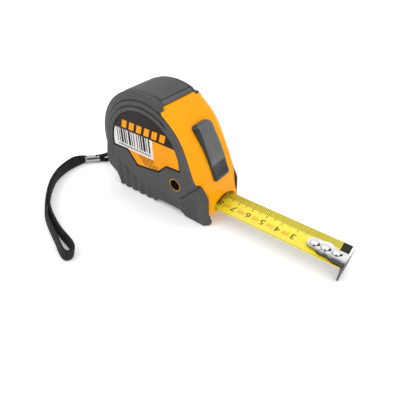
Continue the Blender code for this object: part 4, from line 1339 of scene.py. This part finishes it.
def printed_scale():
    for cm in range(3, 9):
        numeral(f"scale_{cm}", str(cm), BLADE_X1 - 10 * cm - 0.2, 1.1, 4.9, TICK)
    spots = []
    for cm in range(3, 8):
        for k in range(5):
            x = BLADE_X1 - 10 * cm - 7.1 + 0.95 * k
            spots.append((x, -2.6 + 0.5 * (k % 2), 0.5, 1.4 - 0.4 * (k % 2)))
            spots.append((x, -0.4, 0.45, 0.7))
    flat_marks("scale_small_marks", spots, RED)


# End hook and rivets
HOOK_Z, HOOK_T = 9.0, 0.8
HOOK_LENGTH, NOSE_R = 22.0, 4.0
RIVETS_X = (64.6, 70.9, 77.2)
RIVET_R, RIVET_HEAD_R, RIVET_TAIL_R, SLOT_R = 1.2, 2.5, 1.8, 1.5


def plate_edges(x):
    """The plate's near and far edges: a round nose, then a wider near side and a far side
    that draws in again towards the leg."""
    x = x - (BLADE_X1 - HOOK_LENGTH)
    nose = NOSE_R * max(math.sqrt(max(0.0, 1 - max(0.0, 1 - x / NOSE_R) ** 2)), 0.12)
    near = nose + 2.4 * float(ramp(x, 5.0, 9.5)) + 1.8 * float(ramp(x, 12, 19))
    far = nose + 1.0 * float(ramp(x, 8.0, 10.5)) - 2.3 * float(ramp(x, 11, 17))
    return -near, far


LEG_BOTTOM = [
    (-9.35, 1.2), (-9.2, 0.45), (-8.8, 0.2), (-5.0, 0.35), (0.0, 1.1), (5.0, 2.8), (7.5, 4.2),
    (9.0, 5.8), (9.35, 7.0),
]
LEG_FOLD, LEG_LEAN, LEG_GROOVE_Z = 7.3, 0.08, 5.0


def hook_leg(x0, x1):
    """The tab over the blade's end, which leans back below its fold."""
    rings = []
    for y in sorted({y for y, _ in LEG_BOTTOM} | set(np.linspace(-9.0, 9.0, 19))):
        low = float(np.interp(y, *zip(*LEG_BOTTOM)))
        high = blade_z(y) + 0.75
        back = LEG_LEAN * (LEG_FOLD - low)
        ring = [(x0, y, high), (x1, y, high), (x1, y, LEG_FOLD), (x1 - back, y, low)]
        rings.append(ring + [(x0 - back, y, low), (x0, y, LEG_FOLD)])
    return loft("hook_leg", rings)


def end_hook():
    """A plate that follows the blade's dish, bent down at its end into a broad tab."""
    rear, tip = BLADE_X1 - HOOK_LENGTH, BLADE_X1 + GAP + HOOK_T
    nose = rear + 2.0 * np.linspace(0, 1, 12) ** 2
    rings = []
    for x in np.concatenate([nose, np.linspace(rear + 2.4, tip, 44)]):
        lower = [(x, y, HOOK_Z + 0.011 * y * y) for y in np.linspace(*plate_edges(x), 15)]
        rings.append(lower + [(x, y, z + HOOK_T) for x, y, z in lower[::-1]])
    hook = loft("hook_plate", rings, [CHROME], 30)
    x0, x1 = BLADE_X1 + GAP, tip + 0.05
    groove = (x1 + 0.35 - LEG_LEAN * (LEG_FOLD - LEG_GROOVE_Z), LEG_GROOVE_Z)
    steps = [("UNION", hook_leg(x0, x1))]
    steps.append(("DIFFERENCE", rod("leg_groove", groove, 0.6, -5.2, 4.2, 20)))
    for i, x in enumerate(RIVETS_X):
        ring = []
        for a in np.linspace(-math.pi / 2, math.pi / 2, 15):
            ring.append((x + 1.9 + SLOT_R * math.cos(a), SLOT_R * math.sin(a)))
        ring += [(2 * x + 1.1 - px, -py) for px, py in ring]
        slot = loft(f"slot_{i}", [[(px, py, z) for px, py in ring] for z in (7, 12)])
        steps.append(("DIFFERENCE", slot))
    combine(hook, steps)
    round_edges(hook, 0.3, 3, 40)
    return finish(shade(hook, 35), "hook", "hook_chrome", "end_hook")


def rivet(name, x, node_name):
    """A polished domed head over the hook plate, its tail spread under the blade."""
    top = HOOK_Z + HOOK_T + GAP
    bottom = BLADE_EDGE_Z - BLADE_DISH - BLADE_T - 0.35
    levels = [(0.02, top + 1.02)]
    for i in range(1, 9):
        a = math.radians(90 * i / 8)
        levels.append((RIVET_HEAD_R * math.sin(a) ** 0.7, top + 0.12 + 0.9 * math.cos(a)))
    levels += [(RIVET_HEAD_R, top), (RIVET_R, top), (RIVET_R, bottom)]
    levels += [(RIVET_TAIL_R, bottom), (RIVET_TAIL_R - 0.05, bottom - 0.35)]
    rings = [[(x + r * c, r * s, z) for c, s in circle(36)] for r, z in levels]
    return finish(loft(name, rings, [RIVET], 40), "tape", "hook_chrome", node_name)


# Covered pieces
INNER_LOOKS = [
    (STEEL, "centre_post lanyard_pin power_spring"),
    (INNER_AND_RECESS_SHADE, "reel_drum reel_cover lock_arm"),
    (YELLOW, "blade_coil blade_lead"),
    (RUBBER, "brake_pad"),
    (SCREW, "screw_front_low screw_rear_low screw_front_top screw_centre"),
]


def dress_inner_nodes():
    """Gives the covered pieces, which keep their CAD shape, their finishes."""
    for look, names in INNER_LOOKS:
        for name in names.split():
            for slot in bpy.data.objects[name].material_slots:
                slot.material = look


case_half("shell_left", -1, "case_shell_left")
case_half("shell_right", 1, "case_shell_right")
top_pad()
side_label("label_left", -1, "side_label_left")
side_label("label_right", 1, "side_label_right")
lock_button()
blade()
printed_scale()
end_hook()
for letter, rivet_x, spot in zip("abc", RIVETS_X, ("rear", "middle", "front")):
    rivet(f"rivet_{letter}", rivet_x, f"rivet_{spot}")
dress_inner_nodes()
